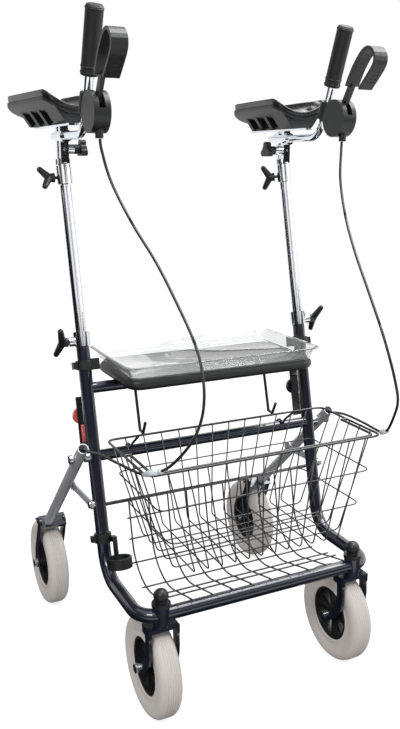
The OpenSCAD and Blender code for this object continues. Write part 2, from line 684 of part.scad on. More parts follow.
// The lever is a hook shaped band with shallow grooves on its return plate.
lever_pts = [[-155, 1155], [-172, 1182], [-190, 1202], [-206, 1213], [-221, 1213],
    [-233, 1203], [-236, 1190], [-228, 1176], [-196, 1146]];
lever_line = [for (i = [0 : len(lever_pts) - 2]) for (t = [0, 0.5])
    curve(pick(lever_pts, i - 1), lever_pts[i], lever_pts[i + 1], pick(lever_pts, i + 2), t),
    lever_pts[len(lever_pts) - 1]];
module brake_lever() {
    color("#15161a") difference() {
        union() {
            plate_yz(upright_x - 4, 8) {
                band([[lever_at[1], lever_at[2]], lever_pts[0]], 13);
                translate([lever_at[1], lever_at[2]]) circle(r = 9);
            }
            plate_yz(upright_x - 14, 28) band(lever_line, 6);
        }
        translate(lever_at) rotate([0, 90, 0]) cylinder(r = 3 + run_clear, h = 20, center = true);
        for (k = [4, 12, 20, 28]) translate([upright_x, -228 + 0.729 * k - 2.4, 1176 - 0.684 * k - 2.6])
            rotate([0, 90, 0]) cylinder(r = 1.4, h = 15, center = true);
    }
}
// Wheels.
module tyre_at(x, y) {
    translate([x, y, axle_z]) rotate([0, 90, 0]) rotate_extrude() {
        translate([rim_d / 2, -tyre_w / 2 + 4]) square([tyre_r - rim_d / 2 - 14, tyre_w - 8]);
        translate([tyre_r - 14, -tyre_w / 2 + 14]) square([14, tyre_w - 28]);
        for (k = [-1, 1]) translate([tyre_r - 14, k * (tyre_w / 2 - 14)]) circle(r = 14);
    }
}
module rim_at(x, y) {
    translate([x, y, axle_z]) rotate([0, 90, 0]) difference() {
        union() {
            difference() {
                cylinder(r = rim_d / 2 - seat_clear, h = tyre_w - 12, center = true);
                cylinder(r = rim_d / 2 - 6, h = tyre_w, center = true);
            }
            cylinder(r = 14, h = tyre_w, center = true);
            for (k = [0 : 40 : 320]) rotate([0, 0, k]) translate([10, -3, -8]) cube([rim_d / 2 - 13, 6, 16]);
        }
        cylinder(r = axle_r + run_clear, h = 100, center = true);
    }
}
module axle_at(x, y) {
    out = arm_x + arm_t + seat_clear;
    translate([x, y, axle_z]) rotate([0, 90, 0]) {
        cylinder(r = axle_r, h = 2 * out, center = true);
        for (k = [-1, 1]) translate([0, 0, k * (out + 3)]) cylinder(r = axle_r + 4, h = 6, center = true);
    }
}
front_axle_y = stem_y + trail;
crown_z = tyre_d + 4;
arm_pts = [[stem_y - 2, crown_z - 4], [stem_y - 5, crown_z - 34], [stem_y + 1, crown_z - 64],
    [stem_y + 0.45 * trail, crown_z - 88], [front_axle_y, axle_z]];
arm_line = [for (i = [0 : len(arm_pts) - 2]) for (t = [0, 0.5])
    curve(pick(arm_pts, i - 1), arm_pts[i], arm_pts[i + 1], pick(arm_pts, i + 2), t),
    arm_pts[len(arm_pts) - 1]];
module caster_fork() {
    color("#1c2233") translate([stem_x, 0, 0]) difference() {
        union() {
            translate([0, stem_y, crown_z]) cylinder(r = stem_r, h = sleeve_z1 - crown_z - 2);
            translate([0, stem_y, crown_z]) cylinder(r = 15, h = sleeve_z0 - crown_z - part_gap);
            translate([-arm_x - arm_t, stem_y - 15, crown_z]) cube([2 * (arm_x + arm_t), 34, 7]);
            for (x = [-arm_x - arm_t, arm_x]) plate_yz(x, arm_t) {
                band(arm_line, 19);
                translate([stem_y - 15, crown_z - 10]) square([34, 17]);
            }
        }
        translate([0, front_axle_y, axle_z]) rotate([0, 90, 0])
            cylinder(r = axle_r + seat_clear, h = 100, center = true);
    }
}
module left_caster_fork() { left() caster_fork(); }
module right_caster_fork() { caster_fork(); }
leg_end = leg_pivot + leg_len * leg_dir;
rear_crown = [leg_end[1], leg_end[2]] + 3.5 * [leg_dir[1], leg_dir[2]];
shoe_at = rear_crown + [19.3, -0.4];
module rear_leg() {
    color("#c4c8ce") difference() {
        union() {
            rod(leg_pivot - 45 * leg_dir, leg_end, leg_r);
            rod(stay_pin - [22, 0, 0], stay_pin, 4);
            translate([rear_wheel_x, 0, 0]) rear_fork();
        }
        rod(leg_pivot - 60 * leg_dir, leg_pivot - 14 * leg_dir, leg_r - 2);
        rod(leg_pivot - [60, 0, 0], leg_pivot + [60, 0, 0], 5 + run_clear);
        translate([rear_wheel_x, rear_axle_y, axle_z]) rotate([0, 90, 0])
            cylinder(r = axle_r + seat_clear, h = 100, center = true);
        rod([rear_wheel_x - 40, shoe_at[0], shoe_at[1]],
            [rear_wheel_x + 40, shoe_at[0], shoe_at[1]], 3 + run_clear);
    }
}
module rear_fork() {
    plate_yz(-arm_x - arm_t, 2 * (arm_x + arm_t)) translate(rear_crown) rotate(43)
        square([30, 12], center = true);
    for (x = [-arm_x - arm_t, arm_x]) plate_yz(x, arm_t)
        band([rear_crown, [rear_crown[0] + 10, rear_crown[1] - 30], [rear_axle_y - 6, axle_z + 36],
            [rear_axle_y, axle_z]], 22);
    for (x = [-arm_x - arm_t, arm_x]) plate_yz(x, arm_t) band([rear_crown, shoe_at], 12);
}
module left_rear_leg() { left() rear_leg(); }
module right_rear_leg() { rear_leg(); }
module brake_shoe() {
    color("#b9bcc2") difference() {
        union() {
            plate_yz(rear_wheel_x - arm_x + 1, 2 * arm_x - 2)
                band([shoe_at, shoe_at + [12, -6], shoe_at + [38, -13]], 5);
            rod([rear_wheel_x - arm_x + 1, shoe_at[0], shoe_at[1]],
                [rear_wheel_x + arm_x - 1, shoe_at[0], shoe_at[1]], 6);
            rod([rear_wheel_x - arm_x - arm_t, shoe_at[0], shoe_at[1]],
                [rear_wheel_x + arm_x + arm_t, shoe_at[0], shoe_at[1]], 3);
        }
    }
}
module left_brake_shoe() { left() brake_shoe(); }
module right_brake_shoe() { brake_shoe(); }
stay_t = 4;
stay_x0 = upright_x + frame_r + 1;
module fold_stay() {
    p = [stay_pin[1], stay_pin[2]];
    q = [stay_y, stay_z];
    color("#b9bcc2") difference() {
        union() {
            plate_yz(stay_x0, stay_t) strip(q, p, 14);
            plate_yz(stay_x0, stay_t) translate(q) circle(r = 9);
            plate_yz(stay_x0, stay_t) translate(p) circle(r = 13);
        }
        plate_yz(stay_x0 - 5, stay_t + 10) translate(q) circle(r = 4 + run_clear);
        plate_yz(stay_x0 - 5, stay_t + 10) translate(p) circle(r = 4.6);
        plate_yz(stay_x0 - 5, stay_t + 10) translate(p)
            polygon([[-4.2, 1], [4.2, 1], [4.6, -20], [-13, -20]]);
    }
}
module left_fold_stay() { left() fold_stay(); }
module right_fold_stay() { fold_stay(); }
module left_arm_bracket() { left() arm_bracket(); }
module right_arm_bracket() { arm_bracket(); }
module left_trough() { left() trough(); }
module right_trough() { trough(); }
module left_arm_pad() { left() arm_pad(); }
module right_arm_pad() { arm_pad(); }
module left_handle_tube() { left() handle_tube(); }
module right_handle_tube() { handle_tube(); }
module left_hand_grip() { left() hand_grip(); }
module right_hand_grip() { hand_grip(); }
module left_brake_housing() { left() brake_housing(); }
module right_brake_housing() { brake_housing(); }
module left_brake_lever() { left() brake_lever(); }
module right_brake_lever() { brake_lever(); }
module left_clamp_knob() { left() clamp_knob(); }
module right_clamp_knob() { clamp_knob(); }
module left_front_axle() { color("#b9bcc2") axle_at(-stem_x, front_axle_y); }
module right_front_axle() { color("#b9bcc2") axle_at(stem_x, front_axle_y); }
module left_front_tyre() { color("#b4b3ae") tyre_at(-stem_x, front_axle_y); }
module right_front_tyre() { color("#b4b3ae") tyre_at(stem_x, front_axle_y); }
module left_front_rim() { color("#17181c") rim_at(-stem_x, front_axle_y); }
module right_front_rim() { color("#17181c") rim_at(stem_x, front_axle_y); }
module left_rear_axle() { color("#b9bcc2") axle_at(-rear_wheel_x, rear_axle_y); }
module right_rear_axle() { color("#b9bcc2") axle_at(rear_wheel_x, rear_axle_y); }
module left_rear_tyre() { color("#b4b3ae") tyre_at(-rear_wheel_x, rear_axle_y); }
module right_rear_tyre() { color("#b4b3ae") tyre_at(rear_wheel_x, rear_axle_y); }
module left_rear_rim() { color("#17181c") rim_at(-rear_wheel_x, rear_axle_y); }
module right_rear_rim() { color("#17181c") rim_at(rear_wheel_x, rear_axle_y); }

// The origin lies on the floor, midway between the axles.
module centred() { translate([0, -(rear_axle_y + front_axle_y) / 2, 0]) children(); }
centred() front_frame();
centred() cross_tubes();
centred() shelf_rod();
centred() wire_shelf();
centred() stem_caps();
centred() mast_collars();
centred() seat_guides();
centred() cane_holder();
centred() bag_hooks();
centred() reflector_bars();
centred() pivot_bolts();
centred() brake_cables();
centred() seat();
centred() tray();
centred() basket();
centred() basket_bail();
centred() left_mast();
centred() right_mast();
centred() left_collar_knob();
centred() right_collar_knob();
centred() left_top_knob();
centred() right_top_knob();
centred() left_arm_bracket();
centred() right_arm_bracket();
centred() left_trough();
centred() right_trough();
centred() left_arm_pad();
centred() right_arm_pad();
centred() left_handle_tube();
centred() right_handle_tube();
centred() left_hand_grip();
centred() right_hand_grip();
centred() left_brake_housing();
centred() right_brake_housing();
centred() left_brake_lever();
centred() right_brake_lever();
centred() left_clamp_knob();
centred() right_clamp_knob();
centred() left_caster_fork();
centred() right_caster_fork();
centred() left_front_axle();
centred() right_front_axle();
centred() left_front_tyre();
centred() right_front_tyre();
centred() left_front_rim();
centred() right_front_rim();
centred() left_rear_leg();
centred() right_rear_leg();
centred() left_rear_axle();
centred() right_rear_axle();
centred() left_rear_tyre();
centred() right_rear_tyre();
centred() left_rear_rim();
centred() right_rear_rim();
centred() left_brake_shoe();
centred() right_brake_shoe();
centred() left_fold_stay();
centred() right_fold_stay();
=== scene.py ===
"""Dresses the upright walker with finishes, wires, tray, pads, cables and tyres, in a white studio."""

import logging
import math
from collections.abc import Sequence
from dataclasses import dataclass
from enum import Enum

import bmesh
import bpy
import numpy as np
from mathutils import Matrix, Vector


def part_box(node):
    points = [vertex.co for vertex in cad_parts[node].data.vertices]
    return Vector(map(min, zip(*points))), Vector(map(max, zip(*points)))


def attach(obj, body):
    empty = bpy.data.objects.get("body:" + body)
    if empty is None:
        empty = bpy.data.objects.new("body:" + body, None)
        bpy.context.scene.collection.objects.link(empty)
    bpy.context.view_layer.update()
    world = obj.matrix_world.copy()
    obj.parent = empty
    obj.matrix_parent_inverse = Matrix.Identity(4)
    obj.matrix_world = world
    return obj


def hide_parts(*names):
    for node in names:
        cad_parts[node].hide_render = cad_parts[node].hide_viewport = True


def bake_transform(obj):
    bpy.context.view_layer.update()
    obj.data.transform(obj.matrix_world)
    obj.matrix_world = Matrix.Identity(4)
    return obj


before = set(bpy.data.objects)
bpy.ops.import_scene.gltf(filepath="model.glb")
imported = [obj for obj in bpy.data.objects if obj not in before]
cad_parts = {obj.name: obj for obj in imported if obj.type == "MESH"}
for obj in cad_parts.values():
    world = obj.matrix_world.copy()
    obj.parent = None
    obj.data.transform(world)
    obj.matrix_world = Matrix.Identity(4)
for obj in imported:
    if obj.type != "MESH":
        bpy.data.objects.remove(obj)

logging.basicConfig(level=logging.INFO, format="%(message)s")
LOG = logging.getLogger("walker")
MM = 0.001
# Distances along the walker below are taken from a point this far behind the middle of the seat.
SEAT_TO_DATUM = 39.0
DATUM_Y = (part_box("seat")[0][1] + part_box("seat")[1][1]) / 2 / MM + SEAT_TO_DATUM
# Two values of one kind, a place in space, and pairs of distances along a line and from it.
Pair = tuple[float, float]
Point = tuple[float, float, float]
Profile = Sequence[Pair]
# The corner indices of faces, and the points of a shape in metres with its faces.
Faces = list[tuple[int, ...]]
Shape = tuple[list[Vector], Faces]
# Place and height of the lower cross tube, which the rear legs hinge on and the basket hangs from.
CROSS_TUBE = (-44.9, 456.0)
# The largest share of a side that the arc at one of its ends may take.
ARC_SHARE = 0.48
# The least radius of a turned point, in millimetres, so that no ring of points collapses.
LEAST_RADIUS = 0.01
# The least length, in metres, that anything is divided by.
LEAST_LENGTH = 1e-9


def spot(x: float, y: float, z: float) -> Vector:
    """A point in metres, given in millimetres across, behind the datum and above the floor."""
    return Vector((x, y + DATUM_Y, z)) * MM


class Side(Enum):
    """The two halves of the walker, with the prefix of their names and the sign of X."""

    LEFT = ("left", -1.0)
    RIGHT = ("right", 1.0)

    @property
    def sign(self) -> float:
        """The sign of X on this side."""
        return self.value[1]

    def named(self, piece: str) -> str:
        """The full name of a node or body of this side."""
        return f"{self.value[0]}_{piece}"

    def point(self, x: float, y: float, z: float) -> Vector:
        """A point given in millimetres for the right side, in metres on this side."""
        return spot(self.sign * x, y, z)


class Pattern(Enum):
    """Kinds of surface grain."""

    NOISE = "ShaderNodeTexNoise"
    CELLS = "ShaderNodeTexVoronoi"


def linear(hexcode: str) -> tuple[float, float, float, float]:
    """The linear colour of an sRGB hex code."""
    parts = [int(hexcode[i : i + 2], 16) / 255 for i in (1, 3, 5)]
    return (*(c / 12.92 if c <= 0.04045 else ((c + 0.055) / 1.055) ** 2.4 for c in parts), 1.0)


def grey(level: float) -> tuple[float, float, float, float]:
    """An opaque grey of a linear level."""
    return (level, level, level, 1.0)


def add_node(
    tree: bpy.types.NodeTree, kind: str, inputs: dict | None = None, **settings: object
) -> bpy.types.Node:
    """Adds a shader node with its settings, and links or sets its inputs.

    Args:
        tree: The node tree that takes the node.
        kind: The node's type name.
        inputs: Socket name or index to a value, or to an output socket to link.
        settings: Properties of the node itself.

    Returns:
        The new node.
    """
    node = tree.nodes.new(kind)
    for name, value in settings.items():
        setattr(node, name, value)
    for name, value in (inputs or {}).items():
        if isinstance(value, bpy.types.NodeSocket):
            tree.links.new(value, node.inputs[name])
        else:
            node.inputs[name].default_value = value
    return node


def blank_material(name: str) -> bpy.types.Material:
    """Makes a material with an empty node tree.

    Args:
        name: The material's name.

    Returns:
        The new material.
    """
    material = bpy.data.materials.new(name)
    material.use_nodes = True
    material.node_tree.nodes.clear()
    return material


@dataclass(frozen=True)
class Grain:
    """A fine surface pattern, sized in millimetres.

    Attributes:
        kind: The texture that draws it.
        size_mm: The width of one grain.
        depth_mm: How far it stands proud.
        swing: How much the roughness varies over it.
    """

    kind: Pattern
    size_mm: float
    depth_mm: float = 0.0
    swing: float = 0.0


@dataclass(frozen=True)
class Finish:
    """One real material with its process.

    Attributes:
        name: The material's name.
        slot: The record's material slot; not used.
        colour: The sRGB hex colour.
        roughness: Mean surface roughness.
        metallic: 1 for bare metal or plating.
        coat: Weight of a clear coat.
        coat_roughness: Roughness of that coat.
        transmission: 1 for clear plastic.
        ior: Refractive index where it isn't the default.
        grain: The surface pattern.
        tint: A second sRGB colour that the grain mixes in: random tone on paint and tyres, painted light on
            the red lens.
    """

    name: str
    slot: str
    colour: str
    roughness: float
    metallic: float = 0.0
    coat: float = 0.0
    coat_roughness: float = 0.05
    transmission: float = 0.0
    ior: float | None = None
    grain: Grain | None = None
    tint: str | None = None

    def material(self) -> bpy.types.Material:
        """Makes the material once, and hands out the same one after that.

        Returns:
            The finish's material.
        """
        made = bpy.data.materials.get(self.name)
        if made is not None:
            return made
        made = blank_material(self.name)
        tree = made.node_tree
        shader = add_node(
            tree,
            "ShaderNodeBsdfPrincipled",
            {
                "Base Color": linear(self.colour),
                "Roughness": self.roughness,
                "Metallic": self.metallic,
                "Coat Weight": self.coat,
                "Coat Roughness": self.coat_roughness,
                "Transmission Weight": self.transmission,
            },
        )
        if self.ior is not None:
            shader.inputs["IOR"].default_value = self.ior
        if self.grain is not None:
            self._add_grain(tree, shader, self.grain)
        add_node(tree, "ShaderNodeOutputMaterial", {"Surface": shader.outputs["BSDF"]})
        return made

    def _add_grain(self, tree: bpy.types.NodeTree, shader: bpy.types.Node, grain: Grain) -> None:
        """Draws the grain in object space as bump, roughness and tint.

        Args:
            tree: The material's node tree.
            shader: The shader that takes the grain.
            grain: The pattern to draw.
        """
        place = add_node(tree, "ShaderNodeTexCoord")
        texture = add_node(
            tree, grain.kind.value, {"Vector": place.outputs["Object"], "Scale": 1000 / grain.size_mm}
        )
        value = texture.outputs["Fac" if grain.kind is Pattern.NOISE else "Distance"]
        if grain.depth_mm:
            bump = add_node(
                tree, "ShaderNodeBump", {"Height": value, "Distance": grain.depth_mm * MM, "Strength": 1.0}
            )
            tree.links.new(bump.outputs["Normal"], shader.inputs["Normal"])
        if grain.swing:
            low, high = self.roughness - grain.swing, self.roughness + grain.swing
            rough = add_node(tree, "ShaderNodeMapRange", {"Value": value, "To Min": low, "To Max": high})
            tree.links.new(rough.outputs["Result"], shader.inputs["Roughness"])
        if self.tint is not None:
            ramp = add_node(tree, "ShaderNodeValToRGB", {"Fac": value})
            ramp.color_ramp.elements[0].color = linear(self.colour)
            ramp.color_ramp.elements[1].color = linear(self.tint)
            tree.links.new(ramp.outputs["Color"], shader.inputs["Base Color"])


# Paint flakes and moulded spark texture are too fine to show, so their grain is drawn coarser than it is.

# Deep navy, nearly black away from the light, with a bluish sparkle under a wet-looking clear coat.
NAVY = Finish(
    "navy_metallic_paint_clear_coated", "navy_paint", "#0c101b", 0.34, 0.2, 1.0, 0.03,
    grain=Grain(Pattern.NOISE, 1.2, 0.0, 0.06), tint="#172036",
)
# Mirror-bright plating with a faint haze of handling.
CHROME = Finish(
    "polished_chrome_plated_steel", "chrome", "#e3e6ea", 0.10, 1.0,
    grain=Grain(Pattern.NOISE, 30.0, 0.0, 0.04),
)
# Flat silver-grey, the light spreads softly over it.
SILVER = Finish(
    "silver_powder_coat_on_steel", "silver_paint", "#b6b8bd", 0.4, 0.3, 0.3, 0.2,
    grain=Grain(Pattern.NOISE, 1.5, 0.02, 0.05),
)
# Bright but slightly cloudy plating on nuts, bolts and bars.
ZINC = Finish(
    "bright_zinc_plated_steel", "zinc_steel", "#c9ccd0", 0.26, 1.0, grain=Grain(Pattern.NOISE, 8.0, 0.0, 0.08)
)
# Pale satin alloy without any mirror shine.
ALLOY = Finish(
    "satin_tumbled_alloy", "zinc_steel", "#dfe3e4", 0.5, 0.1, grain=Grain(Pattern.NOISE, 2.0, 0.02, 0.06)
)
# Charcoal black with a fine even spark texture that breaks up the shine.
ABS = Finish(
    "black_moulded_abs_spark_textured", "black_plastic", "#17181a", 0.44,
    grain=Grain(Pattern.NOISE, 0.7, 0.05, 0.06),
)
# Smooth satin black skin on thin wire, with small glints along each wire.
WIRE = Finish(
    "black_powder_coat_on_wire", "black_wire", "#1b1c20", 0.33, 0.0, 0.4, 0.15,
    grain=Grain(Pattern.NOISE, 1.0, 0.02, 0.05),
)
# Smooth dull-shiny black plastic jacket.
JACKET = Finish(
    "black_pvc_cable_jacket", "cable_jacket", "#141416", 0.38, grain=Grain(Pattern.NOISE, 2.0, 0.01, 0.04)
)
# Clear as glass, seen mainly by its bright edges.
ACRYLIC = Finish("clear_thermoformed_acrylic", "clear_acrylic", "#eff0f0", 0.03, 0.0, 0.0, 0.03, 0.9, 1.49)
# Glossy black skin with a soft leather grain.
VINYL = Finish(
    "black_upholstery_vinyl_leather_grain", "pad_vinyl", "#0e0f11", 0.34, 0.0, 0.15, 0.16,
    grain=Grain(Pattern.CELLS, 1.6, 0.06, 0.04),
)
# Matt black with a soft skin.
GRIP = Finish(
    "black_moulded_grip_rubber", "grip_rubber", "#121315", 0.52, grain=Grain(Pattern.NOISE, 0.9, 0.06, 0.06)
)
# Warm light grey, matt, a little uneven.
TYRE = Finish(
    "grey_moulded_polyurethane_tyre", "tyre_grey", "#cfc8c3", 0.58,
    grain=Grain(Pattern.NOISE, 3.0, 0.05, 0.06), tint="#dcd6d1",
)
# Clear red plastic with small cells. The lighter coral that the cells mix in is painted light: it stands in
# for light that comes through the lens and that the cells catch.
RED_LENS = Finish(
    "red_moulded_reflector_lens", "black_plastic", "#d6463f", 0.24, 0.0, 0.6, 0.05,
    grain=Grain(Pattern.CELLS, 2.6, 0.25, 0.0), tint="#e5736b",
)


def mesh_object(name: str, verts: list[Vector], faces: Faces, finish: Finish) -> bpy.types.Object:
    """Makes a smooth-shaded mesh piece that wears a finish.

    Args:
        name: The piece's name.
        verts: Its points, in metres.
        faces: Its faces.
        finish: The finish that it wears.

    Returns:
        The piece, linked to the scene.
    """
    mesh = bpy.data.meshes.new(name)
    mesh.from_pydata([tuple(v) for v in verts], [], faces)
    mesh.update()
    work = bmesh.new()
    work.from_mesh(mesh)
    bmesh.ops.recalc_face_normals(work, faces=work.faces)
    work.to_mesh(mesh)
    work.free()
    mesh.polygons.foreach_set("use_smooth", [True] * len(mesh.polygons))
    mesh.materials.append(finish.material())
    piece = bpy.data.objects.new(name, mesh)
    bpy.context.scene.collection.objects.link(piece)
    LOG.info("piece %s: %d points", name, len(verts))
    return piece


def strips(rings: int, sides: int, closed: bool = False, shift: int = 0) -> Faces:
    """The faces between rings of points that follow one another.

    Args:
        rings: Number of rings.
        sides: Points in each ring.
        closed: Whether the last ring meets the first one. Both ends get a cap otherwise.
        shift: The point of the first ring that the first point of the last one then meets.

    Returns:
        The faces.
    """
    faces: Faces = []
    for i in range(rings if closed else rings - 1):
        j = (i + 1) % rings
        turn = 0 if j else shift
        for k in range(sides):
            n = (k + 1) % sides
            far, far_next = (k + turn) % sides, (n + turn) % sides
            faces.append((i * sides + k, i * sides + n, j * sides + far_next, j * sides + far))
    if not closed:
        faces.append(tuple(range(sides - 1, -1, -1)))
        faces.append(tuple((rings - 1) * sides + k for k in range(sides)))
    return faces


def tube(points: list[Vector], radius: float, sides: int = 10, closed: bool = False) -> Shape:
    """Sweeps a circle along a line of points without twist.

    Args:
        points: The line, in metres.
        radius: The circle's radius, in metres.
        sides: Points round the circle.
        closed: Whether the line is a loop. Both ends get a cap otherwise.

    Returns:
        The points and faces.
    """
    count = len(points)
    tangents = []
    for i in range(count):
        before = points[i - 1] if i or closed else points[0]
        after = points[(i + 1) % count] if i < count - 1 or closed else points[-1]
        tangents.append((after - before).normalized())
    side = tangents[0].orthogonal().normalized()
    verts: list[Vector] = []
    for i in range(count):
        if i:
            side = tangents[i - 1].rotation_difference(tangents[i]) @ side
        side = (side - tangents[i] * side.dot(tangents[i])).normalized()
        up = tangents[i].cross(side)
        for k in range(sides):
            angle = 2 * math.pi * k / sides
            verts.append(points[i] + (side * math.cos(angle) + up * math.sin(angle)) * radius)
    gaps = [(verts[k] - verts[-sides]).length for k in range(sides)]
    return verts, strips(count, sides, closed, int(np.argmin(gaps)))


def rounded(corners: list[Vector], bend: float, steps: int = 5, closed: bool = False) -> list[Vector]:
    """Turns the corners of a line into arcs.

    Args:
        corners: The line's corners, in metres.
        bend: Distance from a corner at which its arc starts, in metres.
        steps: Steps of each arc.
        closed: Whether the line is a loop. Both ends stay as they are otherwise.

    Returns:
        The points of the rounded line.
    """
    count = len(corners)
    out: list[Vector] = []
    for i, corner in enumerate(corners):
        if not closed and i in (0, count - 1):
            out.append(corner)
            continue
        back, ahead = corners[i - 1] - corner, corners[(i + 1) % count] - corner
        start = corner + back.normalized() * min(bend, back.length * ARC_SHARE)
        end = corner + ahead.normalized() * min(bend, ahead.length * ARC_SHARE)
        for k in range(steps + 1):
            t = k / steps
            out.append(start * (1 - t) ** 2 + corner * 2 * t * (1 - t) + end * t**2)
    return out


def lathe(start: Vector, axis: Vector, profile: Profile, sides: int = 24, ring: bool = False) -> Shape:
    """Turns a profile round an axis.

    Args:
        start: Foot of the axis, in metres.
        axis: Direction of the axis.
        profile: Pairs of distance along the axis and radius, in millimetres.
        sides: Points round the axis.
        ring: Whether the profile closes on itself instead of ending in two flat caps.

    Returns:
        The points and faces.
    """
    along = axis.normalized()
    side = along.orthogonal().normalized()
    up = along.cross(side)
    verts = []
    for s, r in profile:
        for k in range(sides):
            angle = 2 * math.pi * k / sides
            out = side * math.cos(angle) + up * math.sin(angle)
            verts.append(start + along * s * MM + out * max(r, LEAST_RADIUS) * MM)
    return verts, strips(len(profile), sides, ring)


def round_rectangle(half_x: float, half_y: float, radius: float, steps: int = 8) -> list[Pair]:
    """The outline of a rectangle round the origin with rounded corners, from its right side on.

    Args:
        half_x: Half its width.
        half_y: Half its depth.
        radius: Radius of its corners.
        steps: Steps of each corner.

    Returns:
        The outline's points.
    """
    out = []
    for k, (sx, sy) in enumerate(((1, 1), (-1, 1), (-1, -1), (1, -1))):
        for i in range(steps + 1):
            angle = math.radians(90 * k + 90 * i / steps)
            x = sx * (half_x - radius) + radius * math.cos(angle)
            y = sy * (half_y - radius) + radius * math.sin(angle)
            out.append((x, y))
    return out


def joined(parts: list[Shape]) -> Shape:
    """Puts several shapes together as one.

    Args:
        parts: The shapes.

    Returns:
        The points and faces of them all.
    """
    verts: list[Vector] = []
    faces: Faces = []
    for points, corners in parts:
        base = len(verts)
        verts.extend(points)
        faces.extend(tuple(i + base for i in face) for face in corners)
    return verts, faces


@dataclass
class Metalwork:
    """The CAD solids that keep their shape and only take a finish.

    Attributes:
        leg_angle: Angle of the rear legs from the vertical, in degrees.
        fork_starts: Distance from the hinge at which the painted fork begins.
    """

    leg_angle: float = 46.5
    fork_starts: float = 330.0

    def dress(self) -> None:
        """Gives every CAD node the finish of its real material."""
        wears = {
            NAVY: ["front_frame", "cross_tubes", "caster_fork"],
            WIRE: ["shelf_rod", "wire_shelf", "bag_hooks", "basket_bail", "basket", "reflector_bars"],
            ABS: [
                "stem_caps", "seat_guides", "cane_holder", "seat", "collar_knob", "top_knob",
                "trough", "brake_housing", "brake_lever", "clamp_knob", "front_rim", "rear_rim",
            ],
            CHROME: ["mast", "handle_tube", "arm_bracket", "mast_collars"],
            SILVER: ["rear_leg", "fold_stay", "brake_shoe"],
            ZINC: ["pivot_bolts", "front_axle", "rear_axle"],
            GRIP: ["hand_grip"],
            TYRE: ["front_tyre", "rear_tyre"],
            JACKET: ["brake_cables"],
            ACRYLIC: ["tray"],
            VINYL: ["arm_pad"],
        }
        finish_of = {node: finish for finish, nodes in wears.items() for node in nodes}
        for name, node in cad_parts.items():
            plain = name.split("_", 1)[1] if name.startswith(("left_", "right_")) else name
            finish = finish_of[plain]
            node.data.materials.clear()
            node.data.materials.append(finish.material())
            LOG.info("finish %s on %s", finish.name, name)
        for side in Side:
            self._paint_fork(side)

    def _paint_fork(self, side: Side) -> None:
        """Paints the fork end of a rear leg navy.

        Args:
            side: The half that the leg belongs to.
        """
        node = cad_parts[side.named("rear_leg")]
        node.data.materials.append(NAVY.material())
        hinge = spot(0.0, *CROSS_TUBE)
        angle = math.radians(self.leg_angle)
        along = Vector((0.0, math.sin(angle), -math.cos(angle)))
        for face in node.data.polygons:
            if (face.center - hinge).dot(along) > self.fork_starts * MM:
                face.material_index = 1


